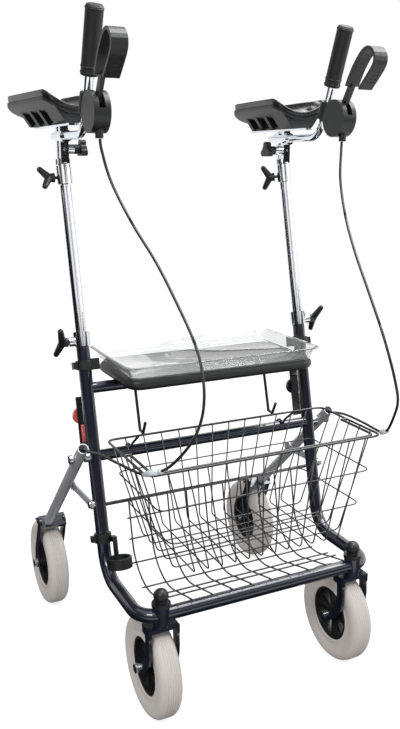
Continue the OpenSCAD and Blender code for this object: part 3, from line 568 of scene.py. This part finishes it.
@dataclass
class Basket:
    """The wire basket, with round wires on the planes of the CAD panels.

    Attributes:
        rim_half: Half width of the rim.
        floor_half: Half width of the floor.
        rim_y: Front and rear of the rim.
        floor_y: Front and rear of the floor.
        rim_z: Height of the rim.
        floor_z: Height of the floor.
        wire: Wire diameter.
        rim_wire: Diameter of the rim wire.
        rim_bend: Distance from a corner of a hoop at which its arc starts.
        wire_bend: The same for the bends of the other wires.
        hoops: Heights of the hoops, as shares of the basket's height.
        bays: Gaps between wires across and along the basket.
        hook_x: Place of the hooks, either side of the middle.
        hook_wire: Diameter of the hooks' wire.
        hook_root: Place of a hook's root behind and above the rear rim.
        hook_neck: Place and height of the bend above the cross tube.
        hook_radius: Radius of the hook round the cross tube.
        hook_turn: First and last angle of the hook round that tube, in degrees.
    """

    rim_half: float = 242.0
    floor_half: float = 180.0
    rim_y: Pair = (-306.0, -104.0)
    floor_y: Pair = (-301.5, -92.5)
    rim_z: float = 506.0
    floor_z: float = 306.5
    wire: float = 2.7
    rim_wire: float = 4.6
    rim_bend: float = 18.0
    wire_bend: float = 10.0
    hoops: tuple[float, ...] = (1.0, 0.66, 0.33)
    bays: tuple[int, int] = (13, 6)
    hook_x: float = 176.0
    hook_wire: float = 5.0
    hook_root: Pair = (2.0, -1.0)
    hook_neck: Pair = (-66.0, 478.0)
    hook_radius: float = 14.2
    hook_turn: Pair = (140.0, 20.0)

    def _corner(self, f: float, x: float, y: float) -> Vector:
        """A point on the walls of the basket.

        Args:
            f: Share of the height, from the floor to the rim.
            x: Place across, from -1 on the left to 1 on the right.
            y: Place along, from -1 at the front to 1 at the rear.

        Returns:
            The point, in metres.
        """
        half = self.floor_half + (self.rim_half - self.floor_half) * f
        front = self.floor_y[0] + (self.rim_y[0] - self.floor_y[0]) * f
        rear = self.floor_y[1] + (self.rim_y[1] - self.floor_y[1]) * f
        z = self.floor_z + (self.rim_z - self.floor_z) * f
        return spot(half * x, front + (rear - front) * (y + 1) / 2, z)

    def build(self) -> None:
        """Bends all the wires and hangs them on the frame."""
        parts = []
        ring = [(-1, -1), (1, -1), (1, 1), (-1, 1)]
        for f in self.hoops:
            loop = rounded([self._corner(f, x, y) for x, y in ring], self.rim_bend * MM, steps=6, closed=True)
            thick = self.rim_wire if f == 1 else self.wire
            parts.append(tube(loop, thick / 2 * MM, sides=8, closed=True))
        across, along = self.bays
        for i in range(1, across):
            x = -1 + 2 * i / across
            parts.append(self._bent_wire((x, -1), (x, 1)))
        for i in range(1, along):
            y = -1 + 2 * i / along
            parts.append(self._bent_wire((-1, y), (1, y)))
        for x in (-self.hook_x, self.hook_x):
            parts.append(tube(self._hook(x), self.hook_wire / 2 * MM))
        piece = mesh_object("basket_wires", *joined(parts), WIRE)
        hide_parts("basket")
        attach(piece, "basket")

    def _bent_wire(self, near: Pair, far: Pair) -> Shape:
        """One wire from the rim down a wall, over the floor and up the opposite wall."""
        line = [self._corner(1, *near), self._corner(0, *near), self._corner(0, *far), self._corner(1, *far)]
        return tube(rounded(line, self.wire_bend * MM), self.wire / 2 * MM, sides=8)

    def _hook(self, x: float, steps: int = 8) -> list[Vector]:
        """The wire hook from the rear rim over the cross tube.

        Args:
            x: Its place across the basket.
            steps: Steps of its turn round the tube.

        Returns:
            The hook's centre line.
        """
        behind, above = self.hook_root
        line = [spot(x, self.rim_y[1] + behind, self.rim_z + above), spot(x, *self.hook_neck)]
        first, last = self.hook_turn
        tube_y, tube_z = CROSS_TUBE
        for k in range(steps + 1):
            angle = math.radians(first + (last - first) * k / steps)
            y = tube_y + self.hook_radius * math.cos(angle)
            z = tube_z + self.hook_radius * math.sin(angle)
            line.append(spot(x, y, z))
        return line


@dataclass
class ShelfEnds:
    """The front ends of the shelf's long wires, which lie on top of the front bar.

    Attributes:
        half: Half the distance between the outermost wires.
        count: How many wires run from back to front.
        start: Place of a point just inside each wire's end, behind the datum and above the floor.
        end: Place of the weld on the bar.
        wire: Wire diameter.
    """

    half: float = 189.0
    count: int = 10
    start: Pair = (-262.6, 236.2)
    end: Pair = (-275.6, 239.5)
    wire: float = 3.2

    def build(self) -> None:
        """Draws one short straight end for each wire."""
        parts = []
        for i in range(self.count):
            x = self.half * (2 * i / (self.count - 1) - 1)
            parts.append(tube([spot(x, *self.start), spot(x, *self.end)], self.wire / 2 * MM, sides=12))
        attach(mesh_object("shelf_wire_ends", *joined(parts), WIRE), "frame")


@dataclass
class Tray:
    """The clear tray on the seat, with rounded corners and a flared rim.

    Attributes:
        centre_y: Middle of the tray.
        floor_z: Underside of the floor.
        rings: Half width, half depth, height above the floor's underside and corner radius of each ring,
            from the middle of the underside over the rim to the middle of the inner floor.
    """

    centre_y: float = -29.0
    floor_z: float = 624.2
    rings: tuple[tuple[float, float, float, float], ...] = (
        (195, 102, 0.0, 14), (197, 104, 1.2, 16), (204.6, 109.6, 21.8, 20), (206, 110.6, 22.4, 21),
        (212, 115.4, 22.4, 24), (213, 116, 23.3, 25), (212.2, 115.4, 24.4, 24), (205.5, 110.2, 24.6, 20),
        (203.4, 108.4, 23.6, 19), (194.6, 101.6, 4.0, 14), (192.5, 99.5, 2.4, 13),
    )

    def build(self) -> None:
        """Lofts the rings into one closed shell."""
        verts: list[Vector] = []
        for half_x, half_y, z, radius in self.rings:
            outline = round_rectangle(half_x, half_y, radius)
            verts.extend(spot(x, y + self.centre_y, z + self.floor_z) for x, y in outline)
        faces = strips(len(self.rings), len(verts) // len(self.rings))
        piece = mesh_object("tray_shell", verts, faces, ACRYLIC)
        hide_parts("tray")
        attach(piece, "tray")


@dataclass
class ArmPad:
    """The vinyl pad in a forearm trough, puffed up by a cloth simulation.

    Attributes:
        side: The half it belongs to.
        half: Half width of the pad.
        ends: First and last place along the trough.
        corner: Corner radius.
        pivot: The point that the trough turns out round.
        toe_out: Angle of that turn, in degrees.
        axis_z: Height of the dish's axis.
        top_r, seam_r, under_r: Distances of the pad's top, side seam and underside from that axis.
        columns, rows, corner_rows: Mesh cells across the pad, along it and along each of its corners.
        pressure: Air pressure in the simulation.
        stiffness: Stretch stiffness of the vinyl there.
        cap: The furthest that a point may swell.
        frames: Simulation steps.
        fill: How full the finished pad is; not used.
        inset: How far inside the pad's border the piping lies.
        piping_r: Distance of the piping from the dish's axis.
        piping: Thickness of the piping.
        stitch: Distance between points of the piping.
    """

    side: Side
    half: float = 58.5
    ends: Pair = (3.2, 236.8)
    corner: float = 24.0
    pivot: Pair = (248.0, 80.0)
    toe_out: float = 5.0
    axis_z: float = 1187.0
    top_r: float = 74.2
    seam_r: float = 77.5
    under_r: float = 83.8
    columns: int = 26
    rows: int = 40
    corner_rows: int = 6
    pressure: float = 4.0
    stiffness: float = 12.0
    cap: float = 5.0
    frames: int = 16
    fill: float = 0.8
    inset: float = 1.6
    piping_r: float = 74.6
    piping: float = 4.2
    stitch: float = 6.0

    def build(self) -> None:
        """Cuts the pad, puffs it and lays it in the trough."""
        verts, faces, held = self._blank()
        piece = mesh_object(self.side.named("vinyl_pad"), verts, faces, VINYL)
        self._puff(piece, held)
        smooth = piece.modifiers.new("subdivision", "SUBSURF")
        smooth.levels = smooth.render_levels = 1
        self._apply(piece)
        piece.data.polygons.foreach_set("use_smooth", [True] * len(piece.data.polygons))
        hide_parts(self.side.named("arm_pad"))
        self._edge()
        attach(piece, self.side.named("arm"))

    def _stations(self) -> list[Pair]:
        """Divides the pad along its length, closely round the corners.

        Returns:
            Places along the pad with the half width at each.
        """
        first, last = self.ends
        turn = [math.radians(90 * i / self.corner_rows) for i in range(self.corner_rows)]
        bend = [(self.corner * (1 - math.cos(a)), self.half - self.corner * (1 - math.sin(a))) for a in turn]
        length = last - first - 2 * self.corner
        middle = [(first + self.corner + length * i / self.rows, self.half) for i in range(self.rows + 1)]
        return [(first + e, h) for e, h in bend] + middle + [(last - e, h) for e, h in reversed(bend)]

    def _blank(self) -> tuple[list[Vector], Faces, list[int]]:
        """The flat-sided pad: an underside, a top and a seam between them.

        Returns:
            The points, the faces and the points that are glued to the shell.
        """
        stations = self._stations()
        wide = self.columns + 1
        verts, faces = [], []
        for r in (self.under_r, self.top_r):
            for v, half in stations:
                verts.extend(self._on_dish(half * (2 * j / self.columns - 1), v, r) for j in range(wide))
        size = len(stations) * wide
        for i in range(len(stations) - 1):
            for j in range(self.columns):
                k = i * wide + j
                faces.append((k, k + wide, k + wide + 1, k + 1))
                faces.append((size + k, size + k + 1, size + k + wide + 1, size + k + wide))
        last = len(stations) - 1
        ring = [(0, j) for j in range(self.columns)] + [(i, self.columns) for i in range(last)]
        ring += [(last, j) for j in range(self.columns, 0, -1)] + [(i, 0) for i in range(last, 0, -1)]
        seam = len(verts)
        for i, j in ring:
            v, half = stations[i]
            verts.append(self._on_dish(half * (2 * j / self.columns - 1), v, self.seam_r))
        for k, (i, j) in enumerate(ring):
            n = (k + 1) % len(ring)
            low, low_next = i * wide + j, ring[n][0] * wide + ring[n][1]
            faces.append((low, low_next, seam + n, seam + k))
            faces.append((seam + k, seam + n, size + low_next, size + low))
        return verts, faces, list(range(size))

    @staticmethod
    def _apply(piece: bpy.types.Object) -> None:
        """Bakes the modifiers of a piece into its mesh.

        Args:
            piece: The piece.
        """
        graph = bpy.context.evaluated_depsgraph_get()
        graph.update()
        baked = bpy.data.meshes.new_from_object(piece.evaluated_get(graph))
        piece.modifiers.clear()
        old, piece.data = piece.data, baked
        bpy.data.meshes.remove(old)

    def _on_dish(self, u: float, v: float, r: float) -> Vector:
        """A point on a round dish in the trough.

        Args:
            u: Place across the trough.
            v: Place along it.
            r: Distance from the dish's axis.

        Returns:
            The point, in metres.
        """
        turn = math.radians(-self.toe_out)
        ahead = v - self.pivot[1]
        x = self.pivot[0] + u * math.cos(turn) - ahead * math.sin(turn)
        y = self.pivot[1] + u * math.sin(turn) + ahead * math.cos(turn)
        return self.side.point(x, y, self.axis_z - math.sqrt(r**2 - u**2))

    def _edge(self) -> None:
        """Sews the piping round the pad's border."""
        first, last = self.ends
        middle, half_v = (first + last) / 2, (last - first) / 2 - self.inset
        line = round_rectangle(self.half - self.inset, half_v, self.corner - self.inset)
        dense = []
        for (u0, v0), (u1, v1) in zip(line, [*line[1:], line[0]]):
            cuts = max(1, round(math.hypot(u1 - u0, v1 - v0) / self.stitch))
            dense.extend((u0 + (u1 - u0) * i / cuts, v0 + (v1 - v0) * i / cuts) for i in range(cuts))
        points = [self._on_dish(u, middle + v, self.piping_r) for u, v in dense]
        shape = tube(points, self.piping / 2 * MM, closed=True)
        piece = mesh_object(self.side.named("pad_piping"), *shape, VINYL)
        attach(piece, self.side.named("arm"))

    def _puff(self, piece: bpy.types.Object, held: list[int]) -> None:
        """Blows the free side up, with the underside held to the shell.

        Args:
            piece: The pad.
            held: Indices of the points that are glued to the shell.
        """
        rest = np.array([v.co for v in piece.data.vertices])
        group = piece.vertex_groups.new(name="held")
        group.add(held, 1.0, "REPLACE")
        cloth = piece.modifiers.new("cloth", "CLOTH")
        cloth.settings.effector_weights.gravity = 0
        cloth.settings.use_pressure = True
        cloth.settings.uniform_pressure_force = self.pressure
        cloth.settings.tension_stiffness = cloth.settings.compression_stiffness = self.stiffness
        cloth.settings.vertex_group_mass = "held"
        scene = bpy.context.scene
        for step in range(1, self.frames + 1):
            scene.frame_set(step)
        graph = bpy.context.evaluated_depsgraph_get()
        blown = piece.evaluated_get(graph).to_mesh()
        moved = np.array([v.co for v in blown.vertices]) - rest
        piece.modifiers.clear()
        length = np.linalg.norm(moved, axis=1, keepdims=True)
        moved *= np.minimum(1.0, self.cap * MM / np.maximum(length, LEAST_LENGTH))
        for vertex, place in zip(piece.data.vertices, rest + moved):
            vertex.co = place
        piece.data.update()
        scene.frame_set(1)
        LOG.info("puffed %s by up to %.1f mm", piece.name, float(np.linalg.norm(moved, axis=1).max() / MM))


@dataclass
class BrakeCable:
    """One brake cable from the lever housing to the rear leg, in five stretches, split by the bodies that it
    runs between.

    Attributes:
        side: The half it belongs to.
        diameter: Jacket diameter.
        route: Points of the right cable, from the housing down and back to the leg.
        splits: Route indices at which one stretch ends and the next starts.
        adjuster: Route index and share of the way to the next one, at both ends of the barrel adjuster.
        barrel: The adjuster's profile, as distances along it and radii.
    """

    side: Side
    diameter: float = 5.0
    route: tuple[Point, ...] = (
        (247, -131, 1052), (245, -133, 1032), (235, -148, 981), (217, -194, 915), (199, -252, 855),
        (188, -308, 796), (180, -360, 737), (180, -388, 690), (186, -402, 645), (197, -400, 605),
        (209, -377, 567), (224, -346, 533), (238, -318, 517), (249, -290, 508), (262, -220, 504),
        (273, -140, 497), (280, -70, 480),
    )
    splits: tuple[int, ...] = (0, 3, 6, 11, 14, 16)
    adjuster: tuple[tuple[int, float], tuple[int, float]] = ((11, 0.35), (12, 0.7))
    barrel: Profile = (
        (0, 2.8), (0, 4.8), (5, 4.8), (5, 3.8), (9, 3.8),
        (9, 5.4), (37, 5.4), (37, 4.0), (44, 3.6), (44, 2.8),
    )

    def _span(self, i: int, t: float) -> Vector:
        """A point on the smooth curve between two neighbouring route points.

        Args:
            i: Index of the first of them.
            t: Share of the way to the next one.

        Returns:
            The point, in metres.
        """
        last = len(self.route) - 1
        p = [self.side.point(*self.route[min(max(i + k, 0), last)]) for k in (-1, 0, 1, 2)]
        return 0.5 * (
            2 * p[1]
            + (p[2] - p[0]) * t
            + (2 * p[0] - 5 * p[1] + 4 * p[2] - p[3]) * t**2
            + (3 * p[1] - p[0] - 3 * p[2] + p[3]) * t**3
        )

    def line(self, first: int, last: int, steps: int = 6) -> list[Vector]:
        """The centre line from one route point to another."""
        points = [self._span(i, k / steps) for i in range(first, last) for k in range(steps)]
        return [*points, self.side.point(*self.route[last])]

    def build(self) -> None:
        """Sweeps the stretches, fixes each one that ends on a single body to that body, leaves the others
        where they are with no body, and adds the adjuster.
        """
        handle, arm, mast, leg = (self.side.named(body) for body in ("handle", "arm", "mast", "leg"))
        held = ((handle, arm), (arm, mast), (mast, "frame"), ("frame",), ("frame", leg))
        for k, bodies in enumerate(held):
            line = self.line(self.splits[k], self.splits[k + 1])
            verts, faces = tube(line, self.diameter / 2 * MM, sides=12)
            piece = mesh_object(self.side.named(f"cable_{k + 1}"), verts, faces, JACKET)
            if k == 0:
                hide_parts("brake_cables")
            if len(bodies) == 1:
                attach(piece, bodies[0])
            else:
                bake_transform(piece)
        self._add_adjuster()

    def _add_adjuster(self) -> None:
        """Puts the pale barrel adjuster on the cable near the basket's corner."""
        start, end = (self._span(*place) for place in self.adjuster)
        verts, faces = lathe(start, end - start, self.barrel)
        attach(mesh_object(self.side.named("cable_adjuster"), verts, faces, ALLOY), "frame")


@dataclass
class Reflector:
    """The red lens and the red tape on a reflector bar.

    Attributes:
        side: The half it belongs to.
        foot: A point of the upright's axis, level with the foot of the bar.
        lean: Backward lean of the upright, in degrees.
        disc: Place of the lens seat across, behind and along the upright from that foot.
        seat: Where the bar ends and the lens seat begins, behind the upright.
        slack: A face this far behind that place is part of the lens seat.
        flat: So is one within this distance of it, if it faces forward.
        facing: Least cosine between such a face's normal and straight ahead.
        dome: The lens's profile, as distances from its seat and radii.
        tape: Place of the tape across the bar, and along it.
        tape_front: How far behind the upright the tape's face lies.
        tape_corner: Rounding of the tape's corners.
        tape_thickness: Thickness of the tape.
    """

    side: Side
    foot: Point = (248.0, -41.22, 471.58)
    lean: float = 13.2
    disc: Point = (3.0, 54.0, 62.0)
    seat: float = 48.0
    slack: float = 0.4
    flat: float = 0.1
    facing: float = 0.9
    dome: Profile = (
        (0.1, 16.8), (1.4, 16.8), (1.9, 16.2), (1.9, 15.2), (2.8, 13.6), (3.7, 9.0), (4.1, 4.0), (4.2, 0.2),
    )
    tape: tuple[Pair, Pair] = ((0.4, 7.6), (8.0, 44.0))
    tape_front: float = 43.4
    tape_corner: float = 1.6
    tape_thickness: float = 0.55

    def _at(self, across: float, behind: float, along: float) -> Vector:
        """A point given from the upright.

        Args:
            across: Distance across the upright.
            behind: Distance behind its axis.
            along: Distance along it from the foot.

        Returns:
            The point, in metres.
        """
        turn = math.radians(self.lean)
        x, y, z = self.foot
        y += behind * math.cos(turn) + along * math.sin(turn)
        z += along * math.cos(turn) - behind * math.sin(turn)
        return self.side.point(x + across, y, z)

    def build(self) -> None:
        """Domes the lens over its seat. The left one has a red seat as well, with red tape below it."""
        axis = (self._at(0, 1, 0) - self._at(0, 0, 0)).normalized()
        shape = lathe(self._at(*self.disc), axis, self.dome, sides=40)
        lens = mesh_object(self.side.named("reflector_lens"), *shape, RED_LENS)
        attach(lens, "frame")
        if self.side is not Side.LEFT:
            return
        self._colour_seat(axis)
        (x0, x1), (k0, k1) = self.tape
        corners = [self._at(x, self.tape_front, k) for x, k in ((x0, k0), (x1, k0), (x1, k1), (x0, k1))]
        edge = rounded(corners, self.tape_corner * MM, steps=4, closed=True)
        raised = [p + axis * self.tape_thickness * MM for p in edge]
        # The tape wears the lens finish, with the same painted coral light on its cells.
        tape = mesh_object(self.side.named("red_tape"), [*edge, *raised], strips(2, len(edge)), RED_LENS)
        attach(tape, "frame")

    def _colour_seat(self, axis: Vector) -> None:
        """Gives the disc that carries the lens the lens's own red.

        Args:
            axis: The direction straight behind the upright, which the lens faces.
        """
        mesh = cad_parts["reflector_bars"].data
        # The lens finish brings its painted coral light onto the disc as well.
        if RED_LENS.name not in mesh.materials:
            mesh.materials.append(RED_LENS.material())
        red = mesh.materials.find(RED_LENS.name)
        level = self._at(0, self.seat, 0).dot(axis)
        for face in mesh.polygons:
            if face.center.x * self.side.sign < 0:
                continue
            behind = (face.center.dot(axis) - level) / MM
            on_disc = behind > self.slack
            disc_front = abs(behind) < self.flat and face.normal.dot(axis) < -self.facing
            if on_disc or disc_front:
                face.material_index = red


class Wheel(Enum):
    """The two kinds of wheel."""

    FRONT = "front"
    REAR = "rear"


@dataclass
class Tyre:
    """A solid tyre with fine ribs round its tread.

    Attributes:
        side: The half it belongs to.
        wheel: Front or rear.
        radius: Outer radius.
        shoulder: Radius of the rounding between tread and sidewall.
        half_width: Half of the tyre's width.
        bead: Half width at the rim, and radius there.
        groove_gap: Distance between grooves.
        groove: Half width and depth of a groove.
        grooves: Number of grooves on each side of the middle one.
        wall: Points of the sidewall out from the bead, across and up from it.
        flank: Points of the sidewall in from the full width, and up from the bead.
        turn: First angle of the shoulder's points, the bound of the last and the step, in degrees.
        fine: How far past the start of the shoulder the close points of the tread go, and their distance.
        sides: Points round the tyre.
    """

    side: Side
    wheel: Wheel
    radius: float = 98.0
    shoulder: float = 14.0
    half_width: float = 22.0
    bead: Pair = (17.6, 55.2)
    groove_gap: float = 4.6
    groove: Pair = (1.0, 1.2)
    grooves: int = 2
    wall: Profile = ((0.0, 0.0), (0.7, 1.4), (0.7, 4.0), (0.1, 5.0), (1.6, 13.0))
    flank: Profile = ((0.6, 20.0), (0.1, 25.0))
    turn: tuple[int, int, int] = (88, 20, -8)
    fine: Pair = (4.0, 0.25)
    sides: int = 96

    def _tread(self, s: float) -> float:
        """Radius of the tread with its grooves.

        Args:
            s: Distance from the middle plane.

        Returns:
            The radius there.
        """
        over = max(0.0, abs(s) - (self.half_width - self.shoulder))
        r = self.radius - self.shoulder + math.sqrt(max(0.0, self.shoulder**2 - over**2))
        half, depth = self.groove
        for k in range(-self.grooves, self.grooves + 1):
            away = abs(s - k * self.groove_gap)
            if away < half:
                r -= depth * math.cos(away / half * math.pi / 2)
        return r

    def _profile(self) -> list[Pair]:
        """The tyre's section from one bead over the tread to the other.

        Returns:
            Distances from the middle plane, and radii.
        """
        width, r = self.bead
        wall = [(width + x, r + y) for x, y in self.wall]
        wall += [(self.half_width - x, r + y) for x, y in self.flank]
        start, (past, step) = self.half_width - self.shoulder, self.fine
        reach = start + past
        middle = [-reach + step * k for k in range(round(2 * reach / step) + 1)]
        arc = [start + self.shoulder * math.sin(math.radians(a)) for a in range(*self.turn)]
        near = [(-x, y) for x, y in wall] + [(-x, self._tread(x)) for x in arc if x > reach]
        far = [(x, self._tread(x)) for x in reversed(arc) if x > reach] + wall[::-1]
        return [*near, *((x, self._tread(x)) for x in middle), *far]

    def build(self) -> None:
        """Turns the tyre round its axle."""
        node = self.side.named(f"{self.wheel.value}_tyre")
        low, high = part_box(node)
        centre = (Vector(low) + Vector(high)) / 2
        verts, faces = lathe(centre, Vector((1, 0, 0)), self._profile(), self.sides, ring=True)
        piece = mesh_object(self.side.named(f"{self.wheel.value}_ribbed_tyre"), verts, faces, TYRE)
        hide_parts(node)
        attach(piece, self.side.named(f"{self.wheel.value}_wheel"))


class Felt(Enum):
    """Colours of the felt on the studio's cards."""

    BLACK = "#26262a"
    GREY = "#74747a"
    PALE = "#c4c4c8"

    def material(self) -> bpy.types.Material:
        """Makes the felt once, and hands out the same one after that.

        Returns:
            The felt's material.
        """
        name = f"{self.name.lower()}_felt_card"
        made = bpy.data.materials.get(name)
        if made is None:
            made = blank_material(name)
            cover = add_node(made.node_tree, "ShaderNodeBsdfDiffuse", {"Color": linear(self.value)})
            add_node(made.node_tree, "ShaderNodeOutputMaterial", {"Surface": cover.outputs["BSDF"]})
        return made


@dataclass(frozen=True)
class Softbox:
    """A soft square lamp.

    Attributes:
        name: The lamp's name.
        at: Where it hangs, in metres.
        to: The point that it is aimed at.
        size: Edge length, in metres.
        power: Power, in watts.
    """

    name: str
    at: Point
    to: Point
    size: float
    power: float

    def hang(self) -> None:
        """Adds the lamp to the scene."""
        data = bpy.data.lights.new(self.name, "AREA")
        data.shape, data.size, data.energy = "SQUARE", self.size, self.power
        lamp = bpy.data.objects.new(self.name, data)
        lamp.location = self.at
        lamp.rotation_euler = (Vector(self.to) - Vector(self.at)).to_track_quat("-Z", "Y").to_euler()
        bpy.context.scene.collection.objects.link(lamp)


@dataclass(frozen=True)
class Panel:
    """A level panel that only reflections see, in metres.

    Attributes:
        name: The panel's name.
        x: Left and right edge.
        y: Front and rear edge.
        z: Height.
    """

    name: str
    x: Pair
    y: Pair
    z: float

    def lay(self, cover: bpy.types.Material) -> None:
        """Adds the panel to the stage."""
        (x0, x1), (y0, y1), z = self.x, self.y, self.z
        add_mirrored(self.name, [(x0, y0, z), (x1, y0, z), (x1, y1, z), (x0, y1, z)], [(0, 1, 2, 3)], cover)


@dataclass(frozen=True)
class Card:
    """A curved felt card round the object, which only reflections see.

    Attributes:
        name: The card's name.
        turn: First and last bearing, in degrees from +X.
        height: Lower and upper edge, in metres.
        felt: The felt that it is covered with.
        radius: Distance from the origin, in metres.
        steps: Number of flat strips.
    """

    name: str
    turn: Pair
    height: Pair
    felt: Felt = Felt.BLACK
    radius: float = 4.0
    steps: int = 24

    def stand(self) -> None:
        """Adds the card to the stage."""
        first, last = self.turn
        verts, faces = [], []
        for i in range(self.steps + 1):
            angle = math.radians(first + (last - first) * i / self.steps)
            x, y = self.radius * math.cos(angle), self.radius * math.sin(angle)
            verts.extend((x, y, z) for z in self.height)
            if i:
                faces.append((2 * i - 2, 2 * i, 2 * i + 1, 2 * i - 1))
        add_mirrored(self.name, verts, faces, self.felt.material())


def add_mirrored(name: str, verts: list[tuple], faces: list[tuple], material: bpy.types.Material) -> None:
    """Adds a stage piece that only reflections see.

    Args:
        name: The piece's name.
        verts: Its points, in metres.
        faces: Its faces.
        material: The material that covers it.
    """
    mesh = bpy.data.meshes.new(name)
    mesh.from_pydata(verts, [], faces)
    mesh.materials.append(material)
    card = bpy.data.objects.new(name, mesh)
    card.visible_camera = card.visible_diffuse = card.visible_transmission = card.visible_shadow = False
    bpy.context.scene.collection.objects.link(card)


@dataclass
class Studio:
    """The white studio of the photograph.

    The bright ceiling panel draws the streak along glossy tubes, and the floor card darkens their undersides.
    The standing cards draw the streaks in chrome and keep black gloss black.

    Attributes:
        camera_at: Camera location in metres.
        camera_turn: Camera rotation in degrees.
        lens: Focal length on the sensor.
        sensor: Sensor width in millimetres.
        surroundings: Strength of the white surroundings as a light, and as seen.
        floor_half: Half the floor's edge length, in metres.
        paper: Grey level of the floor under the lamps.
        paper_glow: Light that the floor adds where it is seen.
        lamps: The soft lamps.
        ceiling: The bright panel.
        ceiling_glow: Strength of that panel, where 1 is white.
        floor_card: The black panel on the floor.
        cards: The standing cards.
    """

    camera_at: Point = (-0.711, -1.4645, 1.015)
    camera_turn: Point = (75.8, 0.0, -26.03)
    lens: float = 39.63
    sensor: float = 36.0
    surroundings: Pair = (0.62, 1.0)
    floor_half: float = 30.0
    paper: float = 0.42
    paper_glow: float = 0.76
    lamps: tuple[Softbox, ...] = (
        Softbox("key_softbox", (-1.9, -2.2, 2.9), (0, -0.05, 0.55), 1.0, 52),
        Softbox("fill_softbox", (2.6, -1.6, 1.9), (0, 0, 0.6), 1.1, 28),
        Softbox("back_softbox", (1.9, 1.9, 2.9), (0, 0, 0.7), 1.8, 30),
    )
    ceiling: Panel = Panel("ceiling_panel", (-0.2, 2.8), (-1.3, 0.4), 3.2)
    ceiling_glow: float = 11.0
    floor_card: Panel = Panel("floor_card", (-2.4, 0.8), (-0.7, 1.5), 0.003)
    cards: tuple[Card, ...] = (
        Card("low_card", (130, 326), (-0.2, 1.55)),
        Card("left_card", (180, 214), (1.55, 2.9), Felt.GREY),
        Card("middle_card", (257, 270), (1.55, 2.9), Felt.PALE),
        Card("high_card", (130, 346), (2.9, 5.0)),
        Card("rear_card", (40, 130), (2.3, 6.0)),
    )

    def build(self) -> None:
        """Sets the stage."""
        scene = bpy.context.scene
        scene.view_settings.view_transform = "Standard"
        self._camera(scene)
        self._world(scene)
        self._floor()
        for lamp in self.lamps:
            lamp.hang()
        self.ceiling.lay(self._glow())
        self.floor_card.lay(Felt.BLACK.material())
        for card in self.cards:
            card.stand()

    def _camera(self, scene: bpy.types.Scene) -> None:
        """Places the camera at the photograph's viewing angle.

        Args:
            scene: The scene that takes it.
        """
        data = bpy.data.cameras.new("photo_camera")
        data.lens, data.sensor_width, data.sensor_fit = self.lens, self.sensor, "AUTO"
        camera = bpy.data.objects.new("photo_camera", data)
        camera.location = Vector(self.camera_at) + Vector((0, DATUM_Y * MM, 0))
        camera.rotation_euler = [math.radians(a) for a in self.camera_turn]
        scene.collection.objects.link(camera)
        scene.camera = camera

    def _world(self, scene: bpy.types.Scene) -> None:
        """Puts white behind the object, and a plain level of light on it.

        Args:
            scene: The scene that it surrounds.
        """
        world = bpy.data.worlds.new("studio_world")
        scene.world = world
        world.use_nodes = True
        tree = world.node_tree
        tree.nodes.clear()
        light, seen = self.surroundings
        levels = {"Value": self._seen(tree), "To Min": light, "To Max": seen}
        strength = add_node(tree, "ShaderNodeMapRange", levels).outputs["Result"]
        shade = add_node(tree, "ShaderNodeBackground", {"Color": grey(1.0), "Strength": strength})
        add_node(tree, "ShaderNodeOutputWorld", {"Surface": shade.outputs["Background"]})

    @staticmethod
    def _seen(tree: bpy.types.NodeTree) -> bpy.types.NodeSocket:
        """Tells the rays that see white from those that only carry light.

        Args:
            tree: The node tree that takes the nodes.

        Returns:
            1 for camera, glossy and transmission rays, and 0 for the rest.
        """
        path = add_node(tree, "ShaderNodeLightPath")
        total: bpy.types.NodeSocket | float = 0.0
        for name in ("Is Camera Ray", "Is Glossy Ray", "Is Transmission Ray"):
            larger = add_node(tree, "ShaderNodeMath", {0: path.outputs[name], 1: total}, operation="MAXIMUM")
            total = larger.outputs["Value"]
        return total

    def _floor(self) -> None:
        """A white floor that keeps a soft shadow."""
        far = self.floor_half
        mesh = bpy.data.meshes.new("floor")
        mesh.from_pydata([(-far, -far, 0), (far, -far, 0), (far, far, 0), (-far, far, 0)], [], [(0, 1, 2, 3)])
        material = blank_material("white_paper_floor")
        tree = material.node_tree
        paper = add_node(tree, "ShaderNodeBsdfDiffuse", {"Color": grey(self.paper)})
        shine = {"Color": grey(self.paper_glow), "Strength": self._seen(tree)}
        glow = add_node(tree, "ShaderNodeEmission", shine)
        both = add_node(tree, "ShaderNodeAddShader", {0: paper.outputs["BSDF"], 1: glow.outputs["Emission"]})
        add_node(tree, "ShaderNodeOutputMaterial", {"Surface": both.outputs["Shader"]})
        mesh.materials.append(material)
        floor = bpy.data.objects.new("floor", mesh)
        bpy.context.scene.collection.objects.link(floor)

    def _glow(self) -> bpy.types.Material:
        """Makes the bright panel's face.

        Returns:
            The glowing material.
        """
        material = blank_material("ceiling_panel_glow")
        tree = material.node_tree
        glow = add_node(tree, "ShaderNodeEmission", {"Color": grey(1.0), "Strength": self.ceiling_glow})
        add_node(tree, "ShaderNodeOutputMaterial", {"Surface": glow.outputs["Emission"]})
        return material


def main() -> None:
    """Builds the scene."""
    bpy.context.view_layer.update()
    Metalwork().dress()
    Basket().build()
    ShelfEnds().build()
    Tray().build()
    for side in Side:
        ArmPad(side).build()
        BrakeCable(side).build()
        Reflector(side).build()
        for wheel in Wheel:
            Tyre(side, wheel).build()
    Studio().build()


if __name__ == "__main__":
    main()
